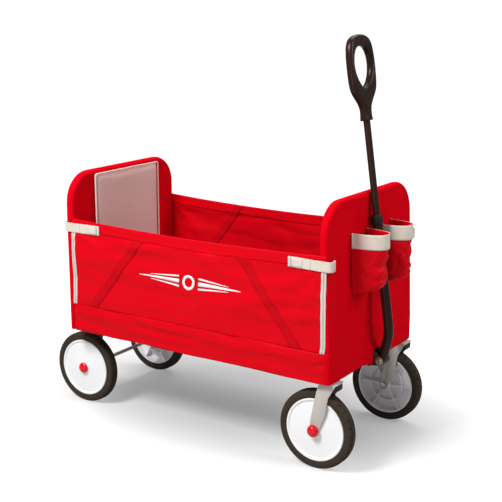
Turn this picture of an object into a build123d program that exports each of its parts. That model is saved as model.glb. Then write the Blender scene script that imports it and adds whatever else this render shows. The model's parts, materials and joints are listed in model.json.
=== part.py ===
from build123d import *
import math
import os

# A folding pull wagon for children: a fabric tub on a steel frame whose floor folds up in the
# middle, with four wheels, two swivelling casters and a telescoping pull handle.
# Millimetres. +X is the handle end, +Y the left side, +Z up. While the pieces are made, x = 0 is
# the middle of the tub; place() then moves them to the frame whose origin is under the middle of
# the whole wagon, on the ground.

# ---- Driving dimensions -------------------------------------------------------------------------

# Wheels
WHEEL_DIAMETER = 200.0
TYRE_WIDTH = 30.0
TYRE_HEIGHT = 20.5
TYRE_SHOULDER_RADIUS = 7.0
RIM_WALL = 4.0
RIM_SETBACK = 1.5
RIM_FACE_THICKNESS = 3.0
RIM_FACE_RECESS = 2.0
RIM_FACE_CROWN = 2.0
HUB_DIAMETER = 30.0
HUB_WIDTH = 32.8
RIB_COUNT = 6
RIB_THICKNESS = 3.0
RIB_SETBACK = 5.0
RIB_RING_RADIUS = 47.0
AXLE_DIAMETER = 10.0
RUNNING_CLEARANCE = 0.05
SIDE_CLEARANCE = 0.6

# Tub: heights are counted from the skirt's lower edge, insets from the tub's ends and sides
TUB_LENGTH = 816.0
TUB_WIDTH = 443.0
SKIRT_HEIGHT = 75.0
SIDE_HEIGHT = 311.0
END_HEIGHT = 432.0
END_CORNER_RADIUS = 80.0
END_THICKNESS = 24.0
END_EDGE_ROUND = 10.0
FRONT_LEAN_BACK = 14.0
SHEET = 3.0
FABRIC_GAP = 0.3
PAD_THICKNESS = 12.0
BACKREST_WIDTH = 272.0
BACKREST_TOP_INSET = 12.0
BACKREST_FLOOR_GAP = 2.0
BACKREST_CORNER_RADIUS = 6.0

# Bands, zips and straps on the sides
BAND_WIDTH = 30.0
BAND_PROUD = 0.9
BAND_EDGE_INSET = 2.0
BAND_TOP_X = 138.0
BAND_FOOT_INSET = 90.0
ZIP_FRONT_INSET = 18.0
ZIP_REAR_INSET = 28.0
ZIP_WIDTH = 13.0
ZIP_TOP_INSET = 28.0
ZIP_PROUD = 1.6
STRAP_HEIGHT = 25.0
STRAP_DROP = 11.0
STRAP_THICKNESS = 3.0
STRAP_LENGTH = 118.0
STRAP_WRAP = 22.0
STRAP_GAP = 0.4

# Steel frame
HOOP_DIAMETER = 16.0
HOOP_INSET = 12.5
HOOP_CORNER_RADIUS = 68.0
HOOP_KNEE_RADIUS = 200.0
BASE_TUBE_DEPTH = 20.0
BASE_TUBE_LIFT = 24.0
BASE_TUBE_HEIGHT = 20.0
RAIL_WIDTH = 14.0
RAIL_HEIGHT = 25.0
RAIL_LIFT = 26.0
RAIL_INSET = 36.5
RAIL_END_GAP = 1.0
RAIL_END_SETBACK = 12.0
CROSS_TUBE_WIDTH = 20.0
CROSS_TUBE_HEIGHT = 18.0
CROSS_TUBE_INSET = 42.0
BOARD_THICKNESS = 4.0
BOARD_REACH = 6.0
FLOOR_PAD_THICKNESS = 16.7
FLOOR_PAD_REACH = 8.0
FLOOR_SIDE_GAP = 7.5
FLOOR_NOTCH = 36.0
FLOOR_NOTCH_GAP = 4.5

# Fold
FOLD_AXIS_INSET = 32.0
FOLD_AXIS_OVER_RAIL = 9.0
CENTRE_AXIS_UNDER_RAIL = 6.0
HINGE_PLATE = 4.0
HINGE_LUG = 5.0
PLATE_GAP = 0.3
HINGE_EYE_RADIUS = 10.0
HINGE_EYE_TAPER = 0.8
HINGE_EYE_SHOULDER = 6.0
CENTRE_EYE_RADIUS = 9.0
HINGE_PLATE_LENGTH = 46.0
HINGE_PIN_RADIUS = 4.0
HINGE_PIN_TAIL = 2.5
HINGE_PIN_HEAD_RADIUS = 7.0
HINGE_PIN_HEAD = 2.0
PULL_STRAP_WIDTH = 25.0
PULL_STRAP_LENGTH = 105.0
PULL_STRAP_THICKNESS = 2.0
PULL_STRAP_ROUND = 8.0
PULL_STRAP_SINK = 0.3
PULL_STRAP_GAP = 0.2
PULL_STRAP_SIDE_GAP = 1.0

# Rear axle
REAR_AXLE_INSET = 1.0
REAR_WHEEL_INSET = 65.5
AXLE_LEG_INSET = 31.0
AXLE_LEG_THICKNESS = 5.0
AXLE_LEG_TOP_WIDTH = 46.0
AXLE_LEG_EYE_RADIUS = 15.0
REAR_CAP_DIAMETER = 30.0
REAR_CAP_HEIGHT = 9.0

# Casters
FRONT_AXLE_INSET = 49.0
CASTER_TRAIL = 37.0
CASTER_INSET = 34.5
CASTER_HEADROOM = 26.0
FORK_TO_SKIRT = 2.0
FORK_PLATE = 3.0
FORK_EYE_RADIUS = 13.0
FORK_TIP_REACH = 22.0
FORK_TIP_HEIGHT = 37.0
FORK_HEEL_HEIGHT = 24.0
FORK_WAIST_RISE = 32.0
FORK_WAIST_REACH = 8.0
FORK_BELLY_RISE = 46.0
FORK_BELLY_REACH = 18.0
CROWN_DEPTH = 19.0
CROWN_REAR_REACH = 14.0
CROWN_ROUND = 7.0
KINGPIN_RADIUS = 6.0
KINGPIN_RISE = 22.0
SOCKET_RADIUS = 13.0
AXLE_HEAD_PROUD = 4.0
CASTER_CAP_DIAMETER = 31.0
CASTER_CAP_HEIGHT = 12.0

# Handle
PIVOT_REACH = 27.0
PIVOT_LIFT = 8.0
PIVOT_BOLT_RADIUS = 4.0
BRACKET_PLATE = 4.0
BRACKET_EAR_RADIUS = 12.0
BRACKET_EAR_GAP = 1.0
BRACKET_DROP = 7.0
BRACKET_HEIGHT = 45.0
BRACKET_FLANGE = 10.0
BOLT_HEAD_RADIUS = 8.0
BOLT_HEAD_HEIGHT = 5.0
BOLT_END = 2.0
LOWER_TUBE_DIAMETER = 24.0
LOWER_TUBE_WALL = 2.0
LOWER_TUBE_RISE = 352.0
KNEE_RISE = 69.0
KNEE_RADIUS = 120.0
HANDLE_LEAN_DEG = 8.4
HANDLE_REST_GAP = 0.6
UPPER_TUBE_DIAMETER = 17.0
UPPER_TUBE_WALL = 1.5
UPPER_TUBE_OVERLAP = 75.0
UPPER_TUBE_REACH = 240.0
GLIDE_LENGTH = 14.0
COLLAR_WALL = 2.0
COLLAR_HEIGHT = 14.0
COLLAR_SKIRT = 8.0
COLLAR_BEVEL = 2.5
GRIP_LENGTH = 205.0
GRIP_WIDTH = 118.0
GRIP_DEPTH = 21.0
GRIP_NECK_DIAMETER = 27.0
GRIP_HOLE_WIDTH = 84.0
GRIP_HOLE_HEIGHT = 98.0
GRIP_BAR = 28.0
GRIP_EDGE_ROUND = 8.0
GRIP_TUBE_DEPTH = 50.0
HANDLE_DENT = 3.0
HANDLE_DENT_WIDTH = 30.0
HANDLE_DENT_HEIGHT = 90.0

# Cup pockets
POCKET_SPACING = 129.0
POCKET_WIDTH = 90.0
POCKET_PROUD = 75.0
POCKET_LIFT = 201.0
POCKET_HEIGHT = 143.0
POCKET_WALL = 3.0
POCKET_FRONT_RADIUS = 34.0
POCKET_BOTTOM_RADIUS = 10.0
POCKET_BAND_HEIGHT = 36.0
POCKET_BAND_PROUD = 1.0

# ---- Sizes that follow --------------------------------------------------------------------------

HALF_LENGTH = TUB_LENGTH / 2
HALF_WIDTH = TUB_WIDTH / 2
WHEEL_RADIUS = WHEEL_DIAMETER / 2
RIM_RADIUS = WHEEL_RADIUS - TYRE_HEIGHT
AXLE_RADIUS = AXLE_DIAMETER / 2
BORE_RADIUS = AXLE_RADIUS + RUNNING_CLEARANCE

# Heights, upwards from the tyres
FORK_TOP_Z = WHEEL_DIAMETER + CASTER_HEADROOM
SKIRT_BOTTOM_Z = FORK_TOP_Z + FORK_TO_SKIRT
SKIRT_TOP_Z = SKIRT_BOTTOM_Z + SKIRT_HEIGHT
SIDE_TOP_Z = SKIRT_BOTTOM_Z + SIDE_HEIGHT
END_TOP_Z = SKIRT_BOTTOM_Z + END_HEIGHT
PANEL_BOTTOM_Z = SKIRT_TOP_Z + FABRIC_GAP
BACKREST_TOP_Z = END_TOP_Z - BACKREST_TOP_INSET
BASE_TUBE_BOTTOM_Z = SKIRT_BOTTOM_Z + BASE_TUBE_LIFT
BASE_TUBE_TOP_Z = BASE_TUBE_BOTTOM_Z + BASE_TUBE_HEIGHT
RAIL_BOTTOM_Z = SKIRT_BOTTOM_Z + RAIL_LIFT
RAIL_TOP_Z = RAIL_BOTTOM_Z + RAIL_HEIGHT
BOARD_TOP_Z = RAIL_TOP_Z + BOARD_THICKNESS
FLOOR_TOP_Z = BOARD_TOP_Z + FLOOR_PAD_THICKNESS
PULL_STRAP_BOTTOM_Z = FLOOR_TOP_Z - PULL_STRAP_SINK - PULL_STRAP_THICKNESS
PULL_STRAP_START_X = -RAIL_END_GAP - 4
FOLD_AXIS_Z = RAIL_TOP_Z + FOLD_AXIS_OVER_RAIL
CENTRE_AXIS_Z = RAIL_BOTTOM_Z - CENTRE_AXIS_UNDER_RAIL
POCKET_BOTTOM_Z = SKIRT_BOTTOM_Z + POCKET_LIFT
POCKET_TOP_Z = POCKET_BOTTOM_Z + POCKET_HEIGHT
BRACKET_BOTTOM_Z = SKIRT_BOTTOM_Z - BRACKET_DROP
BRACKET_TOP_Z = BRACKET_BOTTOM_Z + BRACKET_HEIGHT
PIVOT_Z = SKIRT_BOTTOM_Z + PIVOT_LIFT
KNEE_Z = PIVOT_Z + KNEE_RISE
LOWER_TUBE_TOP_Z = PIVOT_Z + LOWER_TUBE_RISE
GRIP_NECK_Z = LOWER_TUBE_TOP_Z + UPPER_TUBE_REACH

# Places along X
END_INNER_X = HALF_LENGTH - END_THICKNESS
HOOP_X = HALF_LENGTH - END_THICKNESS / 2
FOLD_AXIS_X = END_INNER_X - FOLD_AXIS_INSET
RAIL_END_X = FOLD_AXIS_X - RAIL_END_SETBACK
ZIP_FRONT_X = HALF_LENGTH - ZIP_FRONT_INSET
ZIP_REAR_X = -(HALF_LENGTH - ZIP_REAR_INSET)
BAND_FOOT_X = HALF_LENGTH - BAND_FOOT_INSET
REAR_AXLE_X = -(HALF_LENGTH - REAR_AXLE_INSET)
FRONT_AXLE_X = HALF_LENGTH - FRONT_AXLE_INSET
KINGPIN_X = FRONT_AXLE_X + CASTER_TRAIL
PIVOT_X = HALF_LENGTH + PIVOT_REACH
POCKET_FRONT_X = HALF_LENGTH + POCKET_PROUD - FRONT_LEAN_BACK / 2
LEAN_DEG = math.degrees(math.atan(FRONT_LEAN_BACK / (END_TOP_Z - SKIRT_TOP_Z)))

# Places along Y
HOOP_Y = HALF_WIDTH - HOOP_INSET
RAIL_Y = HALF_WIDTH - RAIL_INSET
FLOOR_HALF_WIDTH = HALF_WIDTH - FLOOR_SIDE_GAP
PLATE_Y = RAIL_Y + RAIL_WIDTH / 2
OUTER_PLATE_Y = PLATE_Y + HINGE_PLATE + PLATE_GAP
REAR_WHEEL_Y = HALF_WIDTH - REAR_WHEEL_INSET
AXLE_LEG_Y = REAR_WHEEL_Y - AXLE_LEG_INSET
CASTER_Y = HALF_WIDTH - CASTER_INSET
LEG_Y = HUB_WIDTH / 2 + SIDE_CLEARANCE
EAR_Y = LOWER_TUBE_DIAMETER / 2 + BRACKET_EAR_GAP
BRACKET_HALF_WIDTH = EAR_Y + BRACKET_PLATE + BRACKET_FLANGE
POCKET_Y = POCKET_SPACING / 2

# The handle rests in its dent at the top of the front panel, and leans back from there.
REST_X = HALF_LENGTH - FRONT_LEAN_BACK - HANDLE_DENT + UPPER_TUBE_DIAMETER / 2 + HANDLE_REST_GAP

# The wagon reaches from the back of the rear tyres to the front of the cup pockets.
X_SHIFT = -(REAR_AXLE_X - WHEEL_RADIUS + POCKET_FRONT_X) / 2


def handle_x(z):
    """The x of the straight handle's centreline at height z."""
    return REST_X + (END_TOP_Z - z) * math.tan(math.radians(HANDLE_LEAN_DEG))


def lean(shape):
    """Turns a piece made upright on the front end so that it leans back with the end panel."""
    return shape.rotate(Axis((HALF_LENGTH, 0, SKIRT_TOP_Z), (0, 1, 0)), -LEAN_DEG)


def block(x0, x1, y0, y1, z0, z1):
    """A rectangular block between the given coordinates."""
    centre = ((x0 + x1) / 2, (y0 + y1) / 2, (z0 + z1) / 2)
    return Pos(*centre) * Box(abs(x1 - x0), abs(y1 - y0), abs(z1 - z0))


def rod_y(x, z, radius, y0, y1):
    """A cylinder along Y."""
    return Pos(x, (y0 + y1) / 2, z) * Rot(X=90) * Cylinder(radius, abs(y1 - y0))


def plate_xz(points, y0, y1):
    """A flat plate with the given outline in x and z, between y0 and y1."""
    face = make_face(Polyline(*[(x, 0, z) for x, z in points], close=True))
    plate = extrude(face, amount=abs(y1 - y0), dir=(0, 1, 0))
    return Pos(0, min(y0, y1), 0) * plate


def mirror_y(shape):
    return mirror(shape, about=Plane.XZ)


def mirror_x(shape):
    return mirror(shape, about=Plane.YZ)


def both_sides(shape):
    """The piece and its mirror image on the other side, as separate solids of one node."""
    return Compound(shape.solids() + mirror_y(shape).solids())


def group(*shapes):
    """Several separate solids in one node."""
    return Compound([solid for shape in shapes for solid in shape.solids()])


# ---- End panels ---------------------------------------------------------------------------------


def end_outline(bottom_z, top_z, half_width, radius):
    """A panel outline in the YZ plane with two rounded top corners."""
    width = 2 * half_width
    centre_z = (bottom_z + top_z) / 2
    blank = Plane.YZ * Pos(0, centre_z) * Rectangle(width, top_z - bottom_z)
    top_corners = blank.vertices().group_by(Axis.Z)[-1]
    return fillet(top_corners, radius)


def hoop(lean_back):
    """The inverted U of steel tube inside an end panel, standing on the base tube."""
    top_z = END_TOP_Z - HOOP_INSET
    top_x = HOOP_X - lean_back * (top_z - SKIRT_TOP_Z) / (END_TOP_Z - SKIRT_TOP_Z)
    foot, knee, corner = (
        (HOOP_X, HOOP_Y, BASE_TUBE_TOP_Z),
        (HOOP_X, HOOP_Y, SKIRT_TOP_Z),
        (top_x, HOOP_Y, top_z),
    )
    left = [foot, knee, corner] if lean_back else [foot, corner]
    right = [(x, -y, z) for x, y, z in reversed(left)]
    bends = [HOOP_KNEE_RADIUS, HOOP_CORNER_RADIUS] if lean_back else [HOOP_CORNER_RADIUS]
    path = FilletPolyline(*left, *right, radius=bends + bends[::-1])
    section = Plane(origin=path @ 0, z_dir=path % 0) * Circle(HOOP_DIAMETER / 2)
    return sweep(section, path=path)


def end_panel():
    """The upright fabric panel around the hoop, before its hoop and flap are cut away."""
    outline = end_outline(PANEL_BOTTOM_Z, END_TOP_Z, HALF_WIDTH, END_CORNER_RADIUS)
    panel = Pos(END_INNER_X, 0, 0) * extrude(outline, amount=END_THICKNESS, dir=(1, 0, 0))
    outer_rim = panel.faces().sort_by(Axis.X)[-1].edges().filter_by(
        lambda edge: edge.center().Z > PANEL_BOTTOM_Z + 1
    )
    return fillet(outer_rim, END_EDGE_ROUND)


def end_skirt():
    """The thin fabric that hangs in front of the base tube below an end panel."""
    return block(
        HALF_LENGTH - SHEET, HALF_LENGTH, -HALF_WIDTH, HALF_WIDTH, SKIRT_BOTTOM_Z, PANEL_BOTTOM_Z
    )


def flap_room(side):
    """The room that a side panel's fabric takes out of the end panels' edges."""
    outer = side * (HALF_WIDTH + 1)
    inner = side * (HALF_WIDTH - SHEET - FABRIC_GAP)
    rear = ZIP_REAR_X - ZIP_WIDTH / 2 - FABRIC_GAP
    front = ZIP_FRONT_X + ZIP_WIDTH / 2 + FABRIC_GAP
    return block(rear, front, inner, outer, SKIRT_TOP_Z - 1, SIDE_TOP_Z + FABRIC_GAP)


def handle_dent():
    """The shallow hollow that the resting handle presses into the top of the front panel."""
    return block(
        HALF_LENGTH - HANDLE_DENT,
        HALF_LENGTH + 1,
        -HANDLE_DENT_WIDTH / 2,
        HANDLE_DENT_WIDTH / 2,
        END_TOP_Z - HANDLE_DENT_HEIGHT,
        END_TOP_Z + 1,
    )


def front_hoop():
    return hoop(FRONT_LEAN_BACK)


def front_cover():
    panel = lean(end_panel() - handle_dent())
    below = block(
        END_INNER_X - END_THICKNESS,
        HALF_LENGTH + END_THICKNESS,
        -HALF_WIDTH,
        HALF_WIDTH,
        SKIRT_BOTTOM_Z,
        PANEL_BOTTOM_Z,
    )
    opening = block(
        HALF_LENGTH - SHEET - 1,
        HALF_LENGTH + 1,
        -BRACKET_HALF_WIDTH - 1,
        BRACKET_HALF_WIDTH + 1,
        SKIRT_BOTTOM_Z - 1,
        BRACKET_TOP_Z + 1,
    )
    cover = panel - below + end_skirt() - opening
    return cover - front_hoop() - flap_room(1) - flap_room(-1)


def rear_hoop():
    return mirror_x(hoop(0))


def rear_cover():
    cover = mirror_x(end_panel() + end_skirt())
    return cover - rear_hoop() - flap_room(1) - flap_room(-1)


def backrest():
    """The padded backrest on the inner face of an end panel, made upright at the front."""
    outline = end_outline(
        SKIRT_TOP_Z + BACKREST_FLOOR_GAP, BACKREST_TOP_Z, BACKREST_WIDTH / 2, BACKREST_CORNER_RADIUS
    )
    pad = extrude(outline, amount=PAD_THICKNESS, dir=(1, 0, 0))
    return Pos(END_INNER_X - PAD_THICKNESS, 0, 0) * pad


# ---- Base frames and fold -----------------------------------------------------------------------


def hinge_lug():
    """A lug from the base tube back to the fold axis, on the left side of the front end."""
    start = END_INNER_X
    eye = (FOLD_AXIS_X, FOLD_AXIS_Z)
    points = [
        (start, BASE_TUBE_BOTTOM_Z + 2),
        (start, BASE_TUBE_TOP_Z),
        (eye[0] + HINGE_EYE_SHOULDER, eye[1] + HINGE_EYE_RADIUS * HINGE_EYE_TAPER),
        (eye[0] - HINGE_EYE_SHOULDER, eye[1] - HINGE_EYE_RADIUS * HINGE_EYE_TAPER),
    ]
    y0, y1 = OUTER_PLATE_Y, OUTER_PLATE_Y + HINGE_LUG
    lug = plate_xz(points, y0, y1) + rod_y(*eye, HINGE_EYE_RADIUS, y0, y1)
    return lug - rod_y(*eye, HINGE_PIN_RADIUS + RUNNING_CLEARANCE, y0 - 1, y1 + 1)


def base_frame():
    """The cross tube at the foot of an end panel with its two hinge lugs, at the front."""
    reach = HALF_WIDTH - SHEET - 1
    tube = block(
        END_INNER_X,
        END_INNER_X + BASE_TUBE_DEPTH,
        -reach,
        reach,
        BASE_TUBE_BOTTOM_Z,
        BASE_TUBE_TOP_Z,
    )
    lug = hinge_lug()
    return tube + lug + mirror_y(lug)


def floor_rails():
    """The two side rails of the front half of the floor."""
    y0, y1 = RAIL_Y - RAIL_WIDTH / 2, RAIL_Y + RAIL_WIDTH / 2
    rail = block(RAIL_END_GAP, RAIL_END_X, y0, y1, RAIL_BOTTOM_Z, RAIL_TOP_Z)
    return both_sides(rail)


def floor_cross_tubes():
    """The two tubes that join the rails of the front half of the floor."""
    reach = RAIL_Y - RAIL_WIDTH / 2
    z1 = RAIL_TOP_Z
    z0 = z1 - CROSS_TUBE_HEIGHT
    half = CROSS_TUBE_WIDTH / 2
    near_centre = CROSS_TUBE_INSET
    near_end = RAIL_END_X - CROSS_TUBE_INSET
    return group(
        *[block(x - half, x + half, -reach, reach, z0, z1) for x in (near_centre, near_end)]
    )


def floor_layer(z0, z1, end_x, start_x):
    """A flat layer of the front half of the floor, notched round the fold hinges."""
    layer = block(start_x, end_x, -FLOOR_HALF_WIDTH, FLOOR_HALF_WIDTH, z0, z1)
    notch_x = FOLD_AXIS_X - FLOOR_NOTCH
    notch_y = PLATE_Y - FLOOR_NOTCH_GAP
    notch = block(notch_x, end_x + 1, notch_y, FLOOR_HALF_WIDTH + 1, z0 - 1, z1 + 1)
    return layer - notch - mirror_y(notch)


def floor_board():
    return floor_layer(RAIL_TOP_Z, BOARD_TOP_Z, FOLD_AXIS_X + BOARD_REACH, RAIL_END_GAP)


def floor_pad():
    return floor_layer(BOARD_TOP_Z, FLOOR_TOP_Z, FOLD_AXIS_X + FLOOR_PAD_REACH, RAIL_END_GAP + 1)


def fold_plate(y0):
    """The plate that carries the end fold axis on a rail of the front half of the floor."""
    x, z = FOLD_AXIS_X, FOLD_AXIS_Z
    y1 = y0 + HINGE_PLATE
    points = [
        (RAIL_END_X - HINGE_PLATE_LENGTH, RAIL_BOTTOM_Z + 3),
        (RAIL_END_X - HINGE_PLATE_LENGTH, RAIL_TOP_Z - 1),
        (x - FLOOR_NOTCH + 2, RAIL_TOP_Z - 1),
        (x - HINGE_EYE_SHOULDER, z + HINGE_EYE_RADIUS * HINGE_EYE_TAPER),
        (x + HINGE_EYE_SHOULDER, z - HINGE_EYE_RADIUS * HINGE_EYE_TAPER),
        (RAIL_END_X, RAIL_BOTTOM_Z + 3),
    ]
    plate = plate_xz(points, y0, y1) + rod_y(x, z, HINGE_EYE_RADIUS, y0, y1)
    return plate - rod_y(x, z, HINGE_PIN_RADIUS, y0 - 1, y1 + 1)


def centre_plate(y0, bore_radius):
    """The plate that carries the centre fold axis on a rail of the front half of the floor."""
    z = CENTRE_AXIS_Z
    y1 = y0 + HINGE_PLATE
    shoulder = HINGE_EYE_RADIUS * HINGE_EYE_TAPER
    points = [
        (-shoulder, z + 3),
        (shoulder, RAIL_TOP_Z - HINGE_PLATE),
        (HINGE_PLATE_LENGTH, RAIL_TOP_Z - HINGE_PLATE),
        (HINGE_PLATE_LENGTH, RAIL_BOTTOM_Z + 2),
        (5, z - shoulder),
    ]
    plate = plate_xz(points, y0, y1) + rod_y(0, z, CENTRE_EYE_RADIUS, y0, y1)
    return plate - rod_y(0, z, bore_radius, y0 - 1, y1 + 1)


def floor_front_hinge_plates():
    centre = centre_plate(PLATE_Y, HINGE_PIN_RADIUS + RUNNING_CLEARANCE)
    return group(both_sides(fold_plate(PLATE_Y)), both_sides(centre))


def floor_rear_hinge_plates():
    """The rear half's centre plates stand one plate further out, on spacer blocks."""
    centre = mirror_x(centre_plate(OUTER_PLATE_Y, HINGE_PIN_RADIUS))
    spacer = block(
        -HINGE_PLATE_LENGTH,
        -HINGE_PLATE_LENGTH / 2,
        PLATE_Y,
        OUTER_PLATE_Y,
        RAIL_BOTTOM_Z + 2,
        RAIL_TOP_Z - HINGE_PLATE,
    )
    return group(both_sides(mirror_x(fold_plate(PLATE_Y))), both_sides(centre + spacer))


def hinge_pin(x, z, outer_y):
    """A headed pin through a pair of hinge plates on the left side."""
    inner_y = PLATE_Y - HINGE_PIN_TAIL
    shank = rod_y(x, z, HINGE_PIN_RADIUS, inner_y, outer_y + SIDE_CLEARANCE)
    start = outer_y + SIDE_CLEARANCE
    return shank + rod_y(x, z, HINGE_PIN_HEAD_RADIUS, start, start + HINGE_PIN_HEAD)


def floor_front_pins():
    return both_sides(hinge_pin(FOLD_AXIS_X, FOLD_AXIS_Z, OUTER_PLATE_Y + HINGE_LUG))


def floor_rear_pins():
    at_rear = hinge_pin(-FOLD_AXIS_X, FOLD_AXIS_Z, OUTER_PLATE_Y + HINGE_LUG)
    at_centre = hinge_pin(0, CENTRE_AXIS_Z, OUTER_PLATE_Y + HINGE_PLATE)
    return group(both_sides(at_rear), both_sides(at_centre))


def rear_floor_pad():
    """The rear half of the floor's cushion, with a shallow bed for the folding strap."""
    half = PULL_STRAP_WIDTH / 2 + PULL_STRAP_SIDE_GAP
    floor_z = PULL_STRAP_BOTTOM_Z - PULL_STRAP_GAP
    bed_end = PULL_STRAP_START_X - PULL_STRAP_LENGTH - PULL_STRAP_SIDE_GAP
    bed = block(bed_end, 0, -half, half, floor_z, FLOOR_TOP_Z + 1)
    return mirror_x(floor_pad()) - bed


def pull_strap():
    """The webbing strap in the middle of the floor that is pulled up to fold the wagon."""
    start = PULL_STRAP_START_X
    half = PULL_STRAP_WIDTH / 2
    z0 = PULL_STRAP_BOTTOM_Z
    strap = block(start - PULL_STRAP_LENGTH, start, -half, half, z0, z0 + PULL_STRAP_THICKNESS)
    return fillet(strap.edges().filter_by(Axis.Z), PULL_STRAP_ROUND)


# ---- Sides --------------------------------------------------------------------------------------


def side_skirt(side):
    """The lower band of fabric along one side, between the two end skirts."""
    reach = HALF_LENGTH - SHEET - FABRIC_GAP
    inner = side * (HALF_WIDTH - SHEET)
    outer = side * HALF_WIDTH
    return block(-reach, reach, inner, outer, SKIRT_BOTTOM_Z, SKIRT_TOP_Z - FABRIC_GAP)


def side_panel(side):
    """The upper sheet of one side, from the skirt seam to the hemmed top edge."""
    inner = side * (HALF_WIDTH - SHEET)
    outer = side * HALF_WIDTH
    rear = ZIP_REAR_X - ZIP_WIDTH / 2
    front = ZIP_FRONT_X + ZIP_WIDTH / 2
    return block(rear, front, inner, outer, SKIRT_TOP_Z, SIDE_TOP_Z)


def diagonal_bands(side):
    """The two sewn-on reinforcing bands of one side, leaning towards each other at the top."""
    half = BAND_WIDTH / 2
    inner = side * HALF_WIDTH
    outer = side * (HALF_WIDTH + BAND_PROUD)
    bottom_z = SKIRT_TOP_Z + BAND_EDGE_INSET
    top_z = SIDE_TOP_Z - BAND_EDGE_INSET
    points = [
        (BAND_FOOT_X - half, bottom_z),
        (BAND_FOOT_X + half, bottom_z),
        (BAND_TOP_X + half, top_z),
        (BAND_TOP_X - half, top_z),
    ]
    band = plate_xz(points, min(inner, outer), max(inner, outer))
    return group(band, mirror_x(band))


def zippers():
    """The two zip tapes of the near side panel."""
    outer = -(HALF_WIDTH + ZIP_PROUD)
    half = ZIP_WIDTH / 2
    tapes = [
        block(x - half, x + half, outer, -HALF_WIDTH, SKIRT_TOP_Z + 1, SIDE_TOP_Z - ZIP_TOP_INSET)
        for x in (ZIP_REAR_X, ZIP_FRONT_X)
    ]
    return group(*tapes)


def corner_straps(side):
    """The webbing straps at a side's two top corners, wrapped round the end panels."""
    top = SIDE_TOP_Z - STRAP_DROP
    bottom = top - STRAP_HEIGHT
    inner = HALF_WIDTH + ZIP_PROUD + STRAP_GAP
    outer = inner + STRAP_THICKNESS
    back = HALF_LENGTH + STRAP_GAP
    front = back + STRAP_THICKNESS
    along = block(front - STRAP_LENGTH, front, inner, outer, bottom, top)
    wrap = block(back, front, HALF_WIDTH - STRAP_WRAP, outer, bottom, top)
    strap = along + wrap
    upright = strap.edges().filter_by(Axis.Z)
    outer_corner = upright.sort_by(lambda edge: edge.center().X + edge.center().Y)[-1]
    strap = fillet(outer_corner, STRAP_THICKNESS - STRAP_GAP)
    pair = group(strap, mirror_x(strap))
    return pair if side > 0 else mirror_y(pair)


# ---- Cup pockets --------------------------------------------------------------------------------


def pocket_outline(shrink):
    """The D-shaped plan of a pocket, its flat side on the end panel."""
    back = HALF_LENGTH
    front = POCKET_FRONT_X - shrink
    half = POCKET_WIDTH / 2 - shrink
    plan = Pos((back + front) / 2, 0) * Rectangle(front - back, 2 * half)
    corners = plan.vertices().group_by(Axis.X)[-1]
    return fillet(corners, POCKET_FRONT_RADIUS - shrink)


def behind_front_face():
    """Everything behind the leaning outer face of the front panel."""
    depth = 2 * POCKET_PROUD
    room = block(HALF_LENGTH - depth, HALF_LENGTH, -HALF_WIDTH, HALF_WIDTH, SKIRT_TOP_Z, 2 * END_TOP_Z)
    return lean(room)


def pocket_block(shrink, z0, z1):
    """The D-shaped column of a pocket, run back far enough to meet the leaning panel."""
    column = Pos(0, 0, z0) * extrude(pocket_outline(shrink), amount=z1 - z0)
    half = POCKET_WIDTH / 2 - shrink
    return column + block(HALF_LENGTH - 2 * FRONT_LEAN_BACK, HALF_LENGTH, -half, half, z0, z1)


def cup_pocket(y):
    """An open-topped cup pocket on the front panel."""
    body = pocket_block(0, POCKET_BOTTOM_Z, POCKET_TOP_Z)
    bottom_rim = [
        edge
        for edge in body.edges().group_by(Axis.Z)[0]
        if edge.center().X > HALF_LENGTH - FRONT_LEAN_BACK
    ]
    body = fillet(bottom_rim, POCKET_BOTTOM_RADIUS)
    hollow = pocket_block(POCKET_WALL, POCKET_BOTTOM_Z + POCKET_WALL, POCKET_TOP_Z + 1)
    back_wall = Pos(POCKET_WALL, 0, 0) * behind_front_face()
    shell = body - (hollow - back_wall) - behind_front_face()
    return Pos(0, y, 0) * shell


def cup_bands():
    """The beige bindings round the pockets' mouths."""
    z0 = POCKET_TOP_Z - POCKET_BAND_HEIGHT
    band = pocket_block(-POCKET_BAND_PROUD, z0, POCKET_TOP_Z)
    core = pocket_block(0, z0 - 1, POCKET_TOP_Z + 1)
    ring = band - core - behind_front_face()
    return group(*[Pos(0, y, 0) * ring for y in (-POCKET_Y, POCKET_Y)])


# ---- Wheels -------------------------------------------------------------------------------------


def revolve_y(profile):
    """A ring turned about the Y axis from an outline in (radius, y)."""
    face = make_face(Polyline(*[(r, y, 0) for r, y in profile], close=True))
    return revolve(face, axis=Axis.Y)


def tyre():
    """The rubber tyre round a wheel's rim, centred on the origin, with its axis along Y."""
    section = Pos((RIM_RADIUS + WHEEL_RADIUS) / 2, 0) * Rectangle(
        WHEEL_RADIUS - RIM_RADIUS, TYRE_WIDTH
    )
    section = fillet(section.vertices().group_by(Axis.X)[-1], TYRE_SHOULDER_RADIUS)
    return revolve(section, axis=Axis.Y)


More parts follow.
